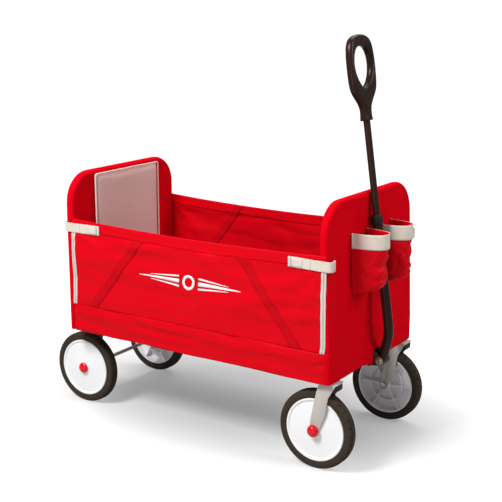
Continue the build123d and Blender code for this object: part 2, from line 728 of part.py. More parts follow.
def rim():
    """The moulded plastic wheel: smooth closed face towards +Y, ribs on the -Y side."""
    half = TYRE_WIDTH / 2
    barrel_half = half - RIM_SETBACK
    hub_half = HUB_WIDTH / 2
    face_y = half - RIM_FACE_RECESS
    barrel_inner = RIM_RADIUS - RIM_WALL
    barrel = revolve_y(
        [
            (barrel_inner, -barrel_half),
            (RIM_RADIUS, -barrel_half),
            (RIM_RADIUS, barrel_half),
            (barrel_inner, barrel_half),
        ]
    )
    hub_radius = HUB_DIAMETER / 2
    hub = revolve_y(
        [
            (BORE_RADIUS, -hub_half),
            (hub_radius, -hub_half),
            (hub_radius, hub_half),
            (BORE_RADIUS, hub_half),
        ]
    )
    disc = revolve_y(
        [
            (hub_radius - 2, face_y - RIM_FACE_THICKNESS + RIM_FACE_CROWN),
            (barrel_inner + 1, face_y - RIM_FACE_THICKNESS),
            (barrel_inner + 1, face_y),
            (hub_radius - 2, face_y + RIM_FACE_CROWN),
        ]
    )
    wheel = barrel + hub + disc
    rib_depth = face_y - RIM_FACE_THICKNESS + 1 + barrel_half - RIB_SETBACK
    rib_centre_y = face_y - RIM_FACE_THICKNESS + 1 - rib_depth / 2
    for index in range(RIB_COUNT):
        length = barrel_inner - hub_radius + 2
        rib = Pos(hub_radius - 1 + length / 2, rib_centre_y, 0) * Box(length, rib_depth, RIB_THICKNESS)
        wheel += rib.rotate(Axis.Y, 360 * index / RIB_COUNT)
    wheel += revolve_y(
        [
            (RIB_RING_RADIUS - RIB_THICKNESS / 2, rib_centre_y - rib_depth / 2),
            (RIB_RING_RADIUS + RIB_THICKNESS / 2, rib_centre_y - rib_depth / 2),
            (RIB_RING_RADIUS + RIB_THICKNESS / 2, rib_centre_y + rib_depth / 2),
            (RIB_RING_RADIUS - RIB_THICKNESS / 2, rib_centre_y + rib_depth / 2),
        ]
    )
    return wheel


def dome_cap(diameter, height):
    """A domed push-on cap with its flat base at y = 0, bulging towards +Y."""
    radius = diameter / 2
    dome_radius = (radius**2 + height**2) / (2 * height)
    round_section = Pos(0, height - dome_radius) * Circle(dome_radius)
    half_section = round_section & Pos(radius / 2, height / 2) * Rectangle(radius, height)
    return revolve(half_section, axis=Axis.Y)


def on_left(shape, x, y):
    """Moves a wheel piece made at the origin to a hub on the left side."""
    return Pos(x, y, WHEEL_RADIUS) * shape


# ---- Rear axle ----------------------------------------------------------------------------------


def rear_axle():
    reach = REAR_WHEEL_Y + LEG_Y
    return rod_y(REAR_AXLE_X, WHEEL_RADIUS, AXLE_RADIUS, -reach, reach)


def rear_axle_legs():
    """The two flat legs that carry the axle below the rear base tube."""
    back_x = -(END_INNER_X + BASE_TUBE_DEPTH)
    x, z = REAR_AXLE_X, WHEEL_RADIUS
    y0, y1 = AXLE_LEG_Y, AXLE_LEG_Y + AXLE_LEG_THICKNESS
    shoulder = math.sqrt(AXLE_LEG_EYE_RADIUS**2 - 16)
    points = [
        (x - shoulder, z + 4),
        (x - shoulder, SKIRT_BOTTOM_Z - AXLE_LEG_TOP_WIDTH),
        (back_x, SKIRT_BOTTOM_Z - SHEET),
        (back_x, BASE_TUBE_BOTTOM_Z),
        (back_x + AXLE_LEG_TOP_WIDTH, BASE_TUBE_BOTTOM_Z),
        (x + shoulder, z + 4),
    ]
    leg = plate_xz(points, y0, y1) + rod_y(x, z, AXLE_LEG_EYE_RADIUS, y0, y1)
    leg = leg - rod_y(x, z, AXLE_RADIUS, y0 - 1, y1 + 1)
    return both_sides(leg)


def rear_hub_caps():
    cap = on_left(dome_cap(REAR_CAP_DIAMETER, REAR_CAP_HEIGHT), REAR_AXLE_X, REAR_WHEEL_Y + LEG_Y)
    return both_sides(cap)


# ---- Casters ------------------------------------------------------------------------------------


def fork():
    """The pressed steel fork: two legs, a top plate and the riveted king-pin, on the left side."""
    x, z = FRONT_AXLE_X, WHEEL_RADIUS
    eye = FORK_EYE_RADIUS
    tip_x = KINGPIN_X + FORK_TIP_REACH
    rear_x = KINGPIN_X - FORK_TIP_REACH
    points = [
        (x - eye, z),
        (x - FORK_WAIST_REACH, z + FORK_WAIST_RISE),
        (x + eye / 2, FORK_TOP_Z - FORK_HEEL_HEIGHT),
        (rear_x, FORK_TOP_Z),
        (tip_x, FORK_TOP_Z),
        (KINGPIN_X + 1, FORK_TOP_Z - FORK_TIP_HEIGHT),
        (x + eye + FORK_BELLY_REACH, z + FORK_BELLY_RISE),
        (x + eye, z),
    ]
    outline = plate_xz(points, 0, FORK_PLATE) + rod_y(x, z, eye, 0, FORK_PLATE)
    left = Pos(0, CASTER_Y + LEG_Y, 0) * outline
    right = Pos(0, CASTER_Y - LEG_Y - FORK_PLATE, 0) * outline
    top = block(
        rear_x, tip_x, CASTER_Y - LEG_Y, CASTER_Y + LEG_Y, FORK_TOP_Z - FORK_PLATE, FORK_TOP_Z
    )
    pin = Pos(KINGPIN_X, CASTER_Y, FORK_TOP_Z + KINGPIN_RISE / 2) * Cylinder(
        KINGPIN_RADIUS, KINGPIN_RISE
    )
    body = left + right + top + pin
    reach = LEG_Y + FORK_PLATE + 1
    return body - rod_y(x, z, AXLE_RADIUS, CASTER_Y - reach, CASTER_Y + reach)


def crown():
    """The black plastic block between the fork legs, under the top plate."""
    z1 = FORK_TOP_Z - FORK_PLATE
    z0 = z1 - CROWN_DEPTH
    blank = block(
        KINGPIN_X - CROWN_REAR_REACH,
        KINGPIN_X + FORK_TIP_REACH - 1,
        CASTER_Y - LEG_Y,
        CASTER_Y + LEG_Y,
        z0,
        z1,
    )
    lower_front = blank.edges().filter_by(Axis.Y).sort_by(lambda edge: edge.center().X - edge.center().Z)
    return fillet(lower_front[-1], CROWN_ROUND)


def caster_axle():
    """The axle bolt through the fork, with a washer-like head on its inner end."""
    x, z = FRONT_AXLE_X, WHEEL_RADIUS
    reach = LEG_Y + FORK_PLATE
    shank = rod_y(x, z, AXLE_RADIUS, CASTER_Y - reach, CASTER_Y + reach)
    head_y = CASTER_Y - reach
    head = rod_y(x, z, AXLE_RADIUS + AXLE_HEAD_PROUD, head_y - AXLE_HEAD_PROUD, head_y)
    return shank + head


def caster_cap():
    cap = dome_cap(CASTER_CAP_DIAMETER, CASTER_CAP_HEIGHT)
    return on_left(cap, FRONT_AXLE_X, CASTER_Y + LEG_Y + FORK_PLATE)


def caster_sockets():
    """The sleeves under the front base tube in which the king-pins turn."""
    z0 = FORK_TOP_Z + SIDE_CLEARANCE
    z1 = BASE_TUBE_BOTTOM_Z
    sleeve = Pos(KINGPIN_X, CASTER_Y, (z0 + z1) / 2) * Cylinder(SOCKET_RADIUS, z1 - z0)
    bore_radius = KINGPIN_RADIUS + RUNNING_CLEARANCE
    bore_height = KINGPIN_RISE + 1
    bore = Pos(KINGPIN_X, CASTER_Y, FORK_TOP_Z + bore_height / 2) * Cylinder(bore_radius, bore_height)
    skirt_side = block(
        HALF_LENGTH - SHEET - FABRIC_GAP,
        KINGPIN_X + 2 * SOCKET_RADIUS,
        0,
        HALF_WIDTH,
        FORK_TOP_Z - 1,
        z1 + 1,
    )
    return both_sides(sleeve - bore - skirt_side)


# ---- Handle -------------------------------------------------------------------------------------


def handle_bracket():
    """The clevis on the front base tube that holds the handle's pivot bolt."""
    inner = EAR_Y
    outer = EAR_Y + BRACKET_PLATE
    half = BRACKET_HALF_WIDTH
    back_x = END_INNER_X + BASE_TUBE_DEPTH
    plate_x = HALF_LENGTH + BRACKET_PLATE
    plate = block(back_x, plate_x, -half, half, BASE_TUBE_BOTTOM_Z, BRACKET_TOP_Z)
    lip = block(HALF_LENGTH, plate_x, -half, half, BRACKET_BOTTOM_Z, BRACKET_TOP_Z)
    ear_end_x = PIVOT_X + BRACKET_EAR_RADIUS / 3
    shoulder = math.sqrt(BRACKET_EAR_RADIUS**2 - (ear_end_x - PIVOT_X) ** 2)
    points = [
        (plate_x, BRACKET_BOTTOM_Z),
        (plate_x, BRACKET_TOP_Z),
        (ear_end_x, PIVOT_Z + shoulder),
        (ear_end_x, PIVOT_Z - shoulder),
    ]
    ear = plate_xz(points, inner, outer) + rod_y(PIVOT_X, PIVOT_Z, BRACKET_EAR_RADIUS, inner, outer)
    ear = ear - rod_y(PIVOT_X, PIVOT_Z, PIVOT_BOLT_RADIUS, inner - 1, outer + 1)
    return plate + lip + ear + mirror_y(ear)


def pivot_bolt():
    """The pivot bolt with its head on the right side and its nut on the left."""
    outer = EAR_Y + BRACKET_PLATE
    shank = rod_y(
        PIVOT_X, PIVOT_Z, PIVOT_BOLT_RADIUS, -outer, outer + BOLT_HEAD_HEIGHT + BOLT_END
    )
    head = rod_y(PIVOT_X, PIVOT_Z, BOLT_HEAD_RADIUS, -outer - BOLT_HEAD_HEIGHT, -outer)
    head = fillet(head.edges().sort_by(Axis.Y)[0], 2)
    nut_face = Plane.XZ * RegularPolygon(BOLT_HEAD_RADIUS, 6)
    nut = extrude(nut_face, amount=BOLT_HEAD_HEIGHT, dir=(0, 1, 0))
    return shank + head + Pos(PIVOT_X, outer, PIVOT_Z) * nut


def tube_path(top_z):
    """The centreline of the handle's lower tube, from the pivot round the knee to top_z."""
    return FilletPolyline(
        (PIVOT_X, 0, PIVOT_Z),
        (handle_x(KNEE_Z), 0, KNEE_Z),
        (handle_x(top_z), 0, top_z),
        radius=KNEE_RADIUS,
    )


def lower_tube():
    """The bent lower tube of the handle, with its cross-bored foot at the pivot."""
    path = tube_path(LOWER_TUBE_TOP_Z)
    start = Plane(origin=path @ 0, z_dir=path % 0)
    outer_radius = LOWER_TUBE_DIAMETER / 2
    outer = sweep(start * Circle(outer_radius), path=path)
    inner = sweep(start * Circle(outer_radius - LOWER_TUBE_WALL), path=path)
    foot = rod_y(PIVOT_X, PIVOT_Z, outer_radius, -outer_radius, outer_radius)
    plug = foot + Pos(PIVOT_X, 0, PIVOT_Z) * Sphere(outer_radius - LOWER_TUBE_WALL + 0.5)
    bore = rod_y(
        PIVOT_X, PIVOT_Z, PIVOT_BOLT_RADIUS + RUNNING_CLEARANCE, -outer_radius - 1, outer_radius + 1
    )
    return (outer - inner) + plug - bore


def along_handle(z):
    """A plane square to the straight handle, centred on it at height z, +X local to the front."""
    angle = math.radians(HANDLE_LEAN_DEG)
    return Plane(
        origin=(handle_x(z), 0, z),
        x_dir=(math.cos(angle), 0, math.sin(angle)),
        z_dir=(-math.sin(angle), 0, math.cos(angle)),
    )


def tube_on_handle(z, outer_radius, inner_radius, start, end):
    """A sleeve round the straight handle, from start to end along it, measured from height z."""
    ring = Circle(outer_radius) - Circle(inner_radius) if inner_radius else Circle(outer_radius)
    return along_handle(z) * Pos(0, 0, start) * extrude(ring, amount=end - start)


def collar():
    """The plastic guide ring on top of the lower tube, bored for the upper tube."""
    bore = UPPER_TUBE_DIAMETER / 2 + RUNNING_CLEARANCE
    tube_radius = LOWER_TUBE_DIAMETER / 2
    outer_radius = tube_radius + COLLAR_WALL
    body = tube_on_handle(LOWER_TUBE_TOP_Z, outer_radius, bore, -COLLAR_SKIRT, COLLAR_HEIGHT)
    crest = [edge for edge in body.edges().filter_by(GeomType.CIRCLE) if edge.radius > bore + 1]
    body = chamfer(sorted(crest, key=lambda edge: edge.center().Z)[-1], COLLAR_BEVEL)
    return body - tube_on_handle(LOWER_TUBE_TOP_Z, tube_radius, 0, -COLLAR_SKIRT - 1, 0)


def upper_tube_ends():
    """The upper tube's ends, along the handle from the lower tube's top."""
    rise = (GRIP_NECK_Z - LOWER_TUBE_TOP_Z) / math.cos(math.radians(HANDLE_LEAN_DEG))
    return -UPPER_TUBE_OVERLAP, rise + GRIP_TUBE_DEPTH


def upper_tube():
    low, high = upper_tube_ends()
    radius = UPPER_TUBE_DIAMETER / 2
    return tube_on_handle(LOWER_TUBE_TOP_Z, radius, radius - UPPER_TUBE_WALL, low, high)


def glide():
    """The plastic plug at the foot of the upper tube, running inside the lower tube."""
    low, _ = upper_tube_ends()
    radius = LOWER_TUBE_DIAMETER / 2 - LOWER_TUBE_WALL - RUNNING_CLEARANCE
    return tube_on_handle(LOWER_TUBE_TOP_Z, radius, 0, low - GLIDE_LENGTH, low)


def grip_outline():
    """The grip's outer outline across the handle: y to the side, height up from the neck."""
    neck = GRIP_NECK_DIAMETER / 2
    half = GRIP_WIDTH / 2
    side_low = 0.43 * GRIP_LENGTH
    side_high = GRIP_LENGTH - half * 0.86
    right = [
        (neck, 0),
        (neck + 1, 0.09 * GRIP_LENGTH),
        (neck + 13, 0.2 * GRIP_LENGTH),
        (half - 5, 0.36 * GRIP_LENGTH),
        (half, side_low + 12),
        (half, side_high - 6),
        (half * 0.78, GRIP_LENGTH - 14),
        (0, GRIP_LENGTH),
    ]
    left = [(-y, height) for y, height in reversed(right[:-1])]
    curve = Spline(*right[1:], *left[:-1])
    return make_face(curve + Polyline((left[-2]), left[-1], right[0], right[1]))


def grip_hole_outline():
    """The hand hole: wide and round at the top, drawn to a rounded V towards the neck."""
    half = GRIP_HOLE_WIDTH / 2
    top = GRIP_LENGTH - GRIP_BAR
    bottom = top - GRIP_HOLE_HEIGHT
    right = [
        (0, bottom),
        (half * 0.45, bottom + 0.1 * GRIP_HOLE_HEIGHT),
        (half * 0.95, bottom + 0.42 * GRIP_HOLE_HEIGHT),
        (half * 0.97, bottom + 0.7 * GRIP_HOLE_HEIGHT),
        (half * 0.6, top - 0.06 * GRIP_HOLE_HEIGHT),
        (0, top),
    ]
    left = [(-y, height) for y, height in reversed(right[1:-1])]
    return make_face(Spline(*right, *left, periodic=True))


def grip():
    """The moulded loop grip on top of the upper tube."""
    neck = along_handle(GRIP_NECK_Z)
    board = Plane(origin=neck.origin, x_dir=(0, 1, 0), z_dir=neck.x_dir)
    loop = grip_outline() - grip_hole_outline()
    blank = extrude(board * loop, amount=GRIP_DEPTH / 2, both=True)
    flat_faces = blank.faces().filter_by(lambda face: abs(face.normal_at().dot(neck.x_dir)) > 0.99)
    edges = [edge for face in flat_faces for edge in face.edges()]
    rim = [edge for edge in edges if edge.length > GRIP_NECK_DIAMETER + 5]
    low, high = upper_tube_ends()
    socket = tube_on_handle(LOWER_TUBE_TOP_Z, UPPER_TUBE_DIAMETER / 2, 0, low, high)
    return fillet(rim, GRIP_EDGE_ROUND) - socket


# ---- Nodes --------------------------------------------------------------------------------------


def place(shape):
    return Pos(X_SHIFT, 0, 0) * shape


def left_caster_pieces():
    return {"fork": fork(), "crown": crown(), "axle": caster_axle(), "cap": caster_cap()}


def build():
    """Every node by name."""
    nodes = {
        "front_hoop": front_hoop(),
        "front_base_frame": base_frame(),
        "front_cover": front_cover(),
        "front_backrest": lean(backrest()),
        "handle_bracket": handle_bracket(),
        "handle_pivot_bolt": pivot_bolt(),
        "caster_sockets": caster_sockets(),
        "cup_pocket_left": cup_pocket(POCKET_Y),
        "cup_pocket_right": cup_pocket(-POCKET_Y),
        "cup_pocket_bands": cup_bands(),
        "left_side_skirt": side_skirt(1),
        "right_side_skirt": side_skirt(-1),
        "left_side_panel": side_panel(1),
        "left_side_bands": diagonal_bands(1),
        "left_corner_straps": corner_straps(1),
        "right_side_flap": side_panel(-1),
        "right_flap_bands": diagonal_bands(-1),
        "right_flap_zips": zippers(),
        "right_corner_straps": corner_straps(-1),
        "floor_front_rails": floor_rails(),
        "floor_front_cross_tubes": floor_cross_tubes(),
        "floor_front_board": floor_board(),
        "floor_front_pad": floor_pad(),
        "floor_front_hinge_plates": floor_front_hinge_plates(),
        "floor_front_pins": floor_front_pins(),
        "floor_rear_rails": mirror_x(floor_rails()),
        "floor_rear_cross_tubes": mirror_x(floor_cross_tubes()),
        "floor_rear_board": mirror_x(floor_board()),
        "floor_rear_pad": rear_floor_pad(),
        "floor_rear_hinge_plates": floor_rear_hinge_plates(),
        "floor_rear_pins": floor_rear_pins(),
        "fold_pull_strap": pull_strap(),
        "rear_hoop": rear_hoop(),
        "rear_base_frame": mirror_x(base_frame()),
        "rear_cover": rear_cover(),
        "rear_backrest": mirror_x(backrest()),
        "rear_axle_legs": rear_axle_legs(),
        "rear_axle": rear_axle(),
        "rear_hub_caps": rear_hub_caps(),
        "handle_lower_tube": lower_tube(),
        "handle_collar": collar(),
        "handle_upper_tube": upper_tube(),
        "handle_glide": glide(),
        "handle_grip": grip(),
    }
    for name, piece in left_caster_pieces().items():
        nodes[f"left_caster_{name}"] = piece
        nodes[f"right_caster_{name}"] = mirror_y(piece)
    hubs = {"front": (FRONT_AXLE_X, CASTER_Y), "rear": (REAR_AXLE_X, REAR_WHEEL_Y)}
    for end, hub in hubs.items():
        for name, piece in (("rim", rim()), ("tyre", tyre())):
            left = on_left(piece, *hub)
            nodes[f"{end}_left_{name}"] = left
            nodes[f"{end}_right_{name}"] = mirror_y(left)
    return nodes


os.makedirs("parts", exist_ok=True)
for node_name, node in build().items():
    export_step(place(node), f"parts/{node_name}.step")
print("x shift", round(X_SHIFT, 3))
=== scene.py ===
# %% [markdown]
# # A folding pull wagon for children
# The frame, the wheels' places and every joint come from a finished design, so this lesson only
# gives the wagon its looks. Every new piece is made where the design has its plain version, in
# metres, with the wagon standing on z = 0, its handle towards +X and its left side towards +Y.
# We load the frame first and keep its box.

# %% Load the frame
import json
import math

import bmesh
import bpy
from mathutils import Matrix, Vector, noise

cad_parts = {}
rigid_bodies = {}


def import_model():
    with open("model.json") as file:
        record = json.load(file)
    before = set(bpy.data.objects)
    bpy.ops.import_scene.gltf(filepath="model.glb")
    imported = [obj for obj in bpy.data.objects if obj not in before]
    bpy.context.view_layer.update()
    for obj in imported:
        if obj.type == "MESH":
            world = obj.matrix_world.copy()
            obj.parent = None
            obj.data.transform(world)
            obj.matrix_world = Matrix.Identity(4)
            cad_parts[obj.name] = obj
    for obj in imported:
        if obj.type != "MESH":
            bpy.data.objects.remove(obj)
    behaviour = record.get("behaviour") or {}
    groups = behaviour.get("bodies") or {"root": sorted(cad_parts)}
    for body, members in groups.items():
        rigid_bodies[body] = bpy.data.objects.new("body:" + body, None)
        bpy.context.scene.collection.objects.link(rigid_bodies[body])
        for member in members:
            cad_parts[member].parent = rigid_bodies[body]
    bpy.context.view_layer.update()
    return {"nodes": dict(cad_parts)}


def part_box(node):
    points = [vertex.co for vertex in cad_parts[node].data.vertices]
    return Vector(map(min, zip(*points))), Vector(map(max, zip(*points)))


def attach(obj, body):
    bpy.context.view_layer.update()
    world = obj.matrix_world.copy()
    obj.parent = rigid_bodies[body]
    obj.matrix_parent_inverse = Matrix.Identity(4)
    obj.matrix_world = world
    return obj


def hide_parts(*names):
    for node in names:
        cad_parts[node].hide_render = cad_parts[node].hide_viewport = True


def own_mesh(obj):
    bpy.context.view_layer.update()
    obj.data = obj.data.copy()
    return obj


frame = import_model()
nodes = frame["nodes"]

# %% [markdown]
# ## Places that everything is measured from
# A sewn cover is fitted to a frame that exists already. So the names below are read from the
# design's own pieces: the side sheets give the tub's length, width and heights, and the joints
# give the lines about which things turn.

# %% Read the places
MM = 0.001


def middle(node):
    """The centre of a node's box."""
    low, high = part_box(node)
    return (Vector(low) + Vector(high)) / 2


panel_low, panel_high = map(Vector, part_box("right_side_flap"))
skirt_low, skirt_high = map(Vector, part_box("right_side_skirt"))
cover_low, cover_high = map(Vector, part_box("front_cover"))
rear_low, rear_high = map(Vector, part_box("rear_cover"))
MID_X = middle("right_side_skirt").x
HALF_LENGTH = cover_high.x - MID_X
HALF_WIDTH = cover_high.y
SKIRT_FOOT, SEAM, SIDE_TOP, END_TOP = skirt_low.z, panel_low.z, panel_high.z, cover_high.z
END_DEPTH = rear_high.x - rear_low.x
LEAN = HALF_LENGTH - END_DEPTH + MID_X - cover_low.x
print("tub", round(2 * HALF_LENGTH, 3), round(2 * HALF_WIDTH, 3), "lean", round(LEAN, 4))

# %% [markdown]
# ## The camera
# The wagon is seen from a little above its rim, turned a third of the way from its side to its
# front, through a long lens, so the far wheels don't shrink much. The camera is made first, because
# every later choice is judged through it.

# %% Camera
CAMERA_TURN = math.radians(33.5)
CAMERA_RISE = math.radians(13.5)
CAMERA_DISTANCE = 2.864
camera_target = Vector((0.0577, 0, 0.4621))
level_part, backwards_z = math.cos(CAMERA_RISE), math.sin(CAMERA_RISE)
backwards = Vector((math.sin(CAMERA_TURN) * level_part, -math.cos(CAMERA_TURN) * level_part, backwards_z))
camera_data = bpy.data.cameras.new("studio_camera")
camera_data.lens = 77.7
camera_data.sensor_width = 36
camera = bpy.data.objects.new("studio_camera", camera_data)
camera.location = camera_target + CAMERA_DISTANCE * backwards
camera.rotation_euler = backwards.to_track_quat("Z", "Y").to_euler()
bpy.context.scene.collection.objects.link(camera)
bpy.context.scene.camera = camera
print("camera", [round(a, 3) for a in camera.location])

# %% [markdown]
# ## Studio: a pale floor and soft light
# The wagon stands on a white sweep. A small strong box high on the viewer's side brightens the long
# side and draws the folds of its cloth. Wider, weaker boxes above, beyond the front end and low
# down keep the front a shade darker and open the shadows. The white room is bright to the camera
# and dim as a light, or it would wash the red out.

# %% Floor
floor_mesh = bmesh.new()
bmesh.ops.create_grid(floor_mesh, x_segments=1, y_segments=1, size=12)
floor_data = bpy.data.meshes.new("studio_floor")
floor_mesh.to_mesh(floor_data)
floor_mesh.free()
studio_floor = bpy.data.objects.new("studio_floor", floor_data)
bpy.context.scene.collection.objects.link(studio_floor)

# %% Lights
AIM = Vector((0.05, 0, 0.35))


def soft_box(name, place, size, power):
    """A square area light that looks at the wagon."""
    data = bpy.data.lights.new(name, "AREA")
    data.shape = "SQUARE"
    data.size = size
    data.energy = power
    light = bpy.data.objects.new(name, data)
    light.location = place
    light.rotation_euler = (Vector(place) - AIM).to_track_quat("Z", "Y").to_euler()
    bpy.context.scene.collection.objects.link(light)


soft_box("overhead_box", (0.0, 1.2, 2.9), 1.8, 34)
soft_box("key_box", (-0.35, -1.95, 2.5), 0.8, 88)
soft_box("front_box", (2.3, 0.5, 1.9), 1.4, 32)
soft_box("low_fill", (0.7, -3.0, 0.5), 1.1, 10)
ROOM_LIGHT = 0.22
ROOM_SEEN = 1.02
world = bpy.data.worlds.new("white_room")
world.use_nodes = True
room = world.node_tree
background = room.nodes["Background"]
background.inputs["Color"].default_value = (1, 1, 1, 1)
seen = room.nodes.new("ShaderNodeLightPath")
level = room.nodes.new("ShaderNodeMapRange")
level.inputs["To Min"].default_value = ROOM_LIGHT
level.inputs["To Max"].default_value = ROOM_SEEN
room.links.new(seen.outputs["Is Camera Ray"], level.inputs["Value"])
room.links.new(level.outputs["Result"], background.inputs["Strength"])
bpy.context.scene.world = world
bpy.context.scene.view_settings.view_transform = "Standard"

# %% [markdown]
# ## Writing materials as expressions
# Every finish here is a small formula: threads are sines, grain is noise, wear is a mask. Wiring
# such formulas by hand takes dozens of nodes, so a Wire wraps one socket and lets Python's own
# operators add the Math nodes. A Paint is one material with its Principled shader, and its node()
# method makes any other node.

# %% Wire and Paint


class Wire:
    """A node's output that Python arithmetic can use."""

    def __init__(self, paint, socket):
        self.paint = paint
        self.socket = socket

    def math(self, operation, *values):
        return self.paint.node("ShaderNodeMath", {"operation": operation}, dict(enumerate(values)))

    def __add__(self, other):
        return self.math("ADD", self, other)

    def __sub__(self, other):
        return self.math("SUBTRACT", self, other)

    def __rsub__(self, other):
        return self.math("SUBTRACT", other, self)

    def __mul__(self, other):
        return self.math("MULTIPLY", self, other)

    __radd__ = __add__
    __rmul__ = __mul__

    def sine(self):
        return self.math("SINE", self)


class Paint:
    """One material: its Principled shader, and ways to feed it."""

    def __init__(self, name, colour, roughness, **numbers):
        self.material = bpy.data.materials.new(name)
        self.material.use_nodes = True
        self.tree = self.material.node_tree
        self.shader = self.tree.nodes["Principled BSDF"]
        self.set("Base Color", (*colour, 1))
        self.set("Roughness", roughness)
        for socket, value in numbers.items():
            self.set(socket.replace("_", " "), value)

    def set(self, socket, value):
        self.feed(self.shader.inputs[socket], value)

    def feed(self, socket, value):
        if isinstance(value, Wire):
            self.tree.links.new(value.socket, socket)
        else:
            socket.default_value = value

    def node(self, kind, settings=None, inputs=None, output=0):
        made = self.tree.nodes.new(kind)
        for key, value in (settings or {}).items():
            setattr(made, key, value)
        for key, value in (inputs or {}).items():
            self.feed(made.inputs[key], value)
        return Wire(self, made.outputs[output])

    def coordinates(self, output="Object"):
        """The three coordinates of the object, or of its own UV map, in metres."""
        source = self.node("ShaderNodeTexCoord", output=output)
        return [self.node("ShaderNodeSeparateXYZ", {}, {0: source}, output=i) for i in range(3)]

    def noise(self, scale, detail=3.0, stretch=(1, 1, 1), output="Object"):
        """Noise from 0 to 1 with scale cells to the metre, stretched along the axes."""
        source = self.node("ShaderNodeTexCoord", output=output)
        mapped = self.node("ShaderNodeMapping", {}, {"Vector": source, "Scale": stretch})
        sockets = {"Vector": mapped, "Scale": scale, "Detail": detail}
        return self.node("ShaderNodeTexNoise", {}, sockets)

    def blend(self, factor, first, second):
        """A colour between two colours."""
        sockets = {0: factor, 6: (*first, 1), 7: (*second, 1)}
        return self.node("ShaderNodeMix", {"data_type": "RGBA"}, sockets, output=2)

    def bump(self, height, depth):
        """Raises the surface by depth metres where height is 1."""
        sockets = {"Height": height, "Distance": depth, "Strength": 1.0}
        self.set("Normal", self.node("ShaderNodeBump", {}, sockets))


def shade(colour, factor):
    return tuple(min(1.0, c * factor) for c in colour)


# %% [markdown]
# ## Woven finishes
# The tub is a coated polyester plain weave: fine threads crossing over and under, seen close up
# as a tiny chequer, and from a distance as a satin sheen with slight mottling where the coating is
# thicker. One function makes every cloth here. Sheets carry a UV map in metres, so the threads
# follow the cloth round its curves, and pieces cut from solid use their object's coordinates.

# %% Cloth


def cloth(name, colour, pitch, relief, roughness, mottle=0.07, on_map=True, flat=False, **numbers):
    """A plain weave with threads pitch metres apart."""
    paint = Paint(name, colour, roughness, **numbers)
    x, y, z = paint.coordinates("UV" if on_map else "Object")
    across, up = (x, y) if on_map or flat else (x + y, z)
    threads = (across * (math.pi / pitch)).sine() * (up * (math.pi / pitch)).sine()
    coarse = paint.noise(9.0, 4.0, output="Object")
    slubs = paint.noise(260.0, 2.0, (1, 1, 0.25), output="Object")
    tone = coarse * 0.6 + slubs * 0.3 + threads * 0.1
    paint.set("Base Color", paint.blend(tone, shade(colour, 1 - mottle), shade(colour, 1 + mottle)))
    paint.set("Roughness", roughness - 0.06 + coarse * 0.12)
    paint.bump(threads * 0.5 + slubs * 0.5, relief)
    return paint.material


RED = (0.640, 0.0010, 0.0075)
BAND_RED = (0.520, 0.0010, 0.0070)
BEIGE = (0.720, 0.655, 0.570)
# The pads' cloth is light grey; the pink in their colour is painted red bounce light from the tub's
# sides.
PAD_GREY_WITH_PAINTED_BOUNCE = (0.680, 0.430, 0.405)
CHARCOAL = (0.060, 0.058, 0.062)
SATIN = {"IOR": 1.14}
MATT = {"IOR": 1.04}
red_cloth = cloth("red_cloth", RED, 0.7 * MM, 0.05 * MM, 0.42, **SATIN)
red_solid = cloth("red_solid_cloth", RED, 0.7 * MM, 0.05 * MM, 0.6, on_map=False, **MATT)
red_band = cloth("red_band", BAND_RED, 1.1 * MM, 0.09 * MM, 0.6, **SATIN)
red_end = cloth("red_end_cloth", RED, 0.7 * MM, 0.05 * MM, 0.6, **MATT)
red_thread = cloth("red_thread", shade(RED, 0.62), 0.5 * MM, 0.05 * MM, 0.6, on_map=False, **SATIN)
taupe_cloth = cloth("taupe_cloth", PAD_GREY_WITH_PAINTED_BOUNCE, 0.9 * MM, 0.06 * MM, 0.72, on_map=False)
floor_cloth = cloth("floor_cloth", CHARCOAL, 1.0 * MM, 0.07 * MM, 0.8, on_map=False, flat=True)
pale_cord = cloth("pale_cord", (0.66, 0.58, 0.54), 0.8 * MM, 0.06 * MM, 0.6, on_map=False)


def webbing(name, colour):
    """Heavy narrow webbing: bold cross ribs and a tight edge on each side."""
    paint = Paint(name, colour, 0.62)
    u, v, _ = paint.coordinates("UV")
    ribs = (u * (2 * math.pi / (1.6 * MM))).sine()
    threads = (v * (2 * math.pi / (1.2 * MM))).sine()
    soil = paint.noise(30.0, 4.0)
    tone = soil * 0.7 + ribs * 0.15
    paint.set("Base Color", paint.blend(tone, shade(colour, 0.86), shade(colour, 1.05)))
    paint.bump(ribs * 0.4 + threads * 0.3, 0.12 * MM)
    return paint.material


beige_webbing = webbing("beige_webbing", BEIGE)
print("cloths", [m.name for m in bpy.data.materials][-3:])

# %% [markdown]
# ## Hard finishes
# Powder coat has the fine orange peel of melted paint, moulded plastic a faint grain and a softer
# gloss, bare steel a drawn grain along the bar, and rubber is matt with dust in its low places.
# Each is noise at the right scale in the bump and in the roughness, with the colour a little
# lighter where hands and the ground rub it.

# %% Metals and plastics


def grained(name, colour, roughness, grain, relief, stretch=(1, 1, 1), wear=0.08, **numbers):
    """A hard finish with fine grain in its bump and gloss, and slow changes of tone."""
    paint = Paint(name, colour, roughness, **numbers)
    fine = paint.noise(grain, 3.0, stretch)
    slow = paint.noise(14.0, 3.0)
    paint.set("Base Color", paint.blend(slow, shade(colour, 1 - wear), shade(colour, 1 + wear)))
    paint.set("Roughness", roughness - 0.05 + fine * 0.06 + slow * 0.06)
    paint.bump(fine, relief)
    return paint.material


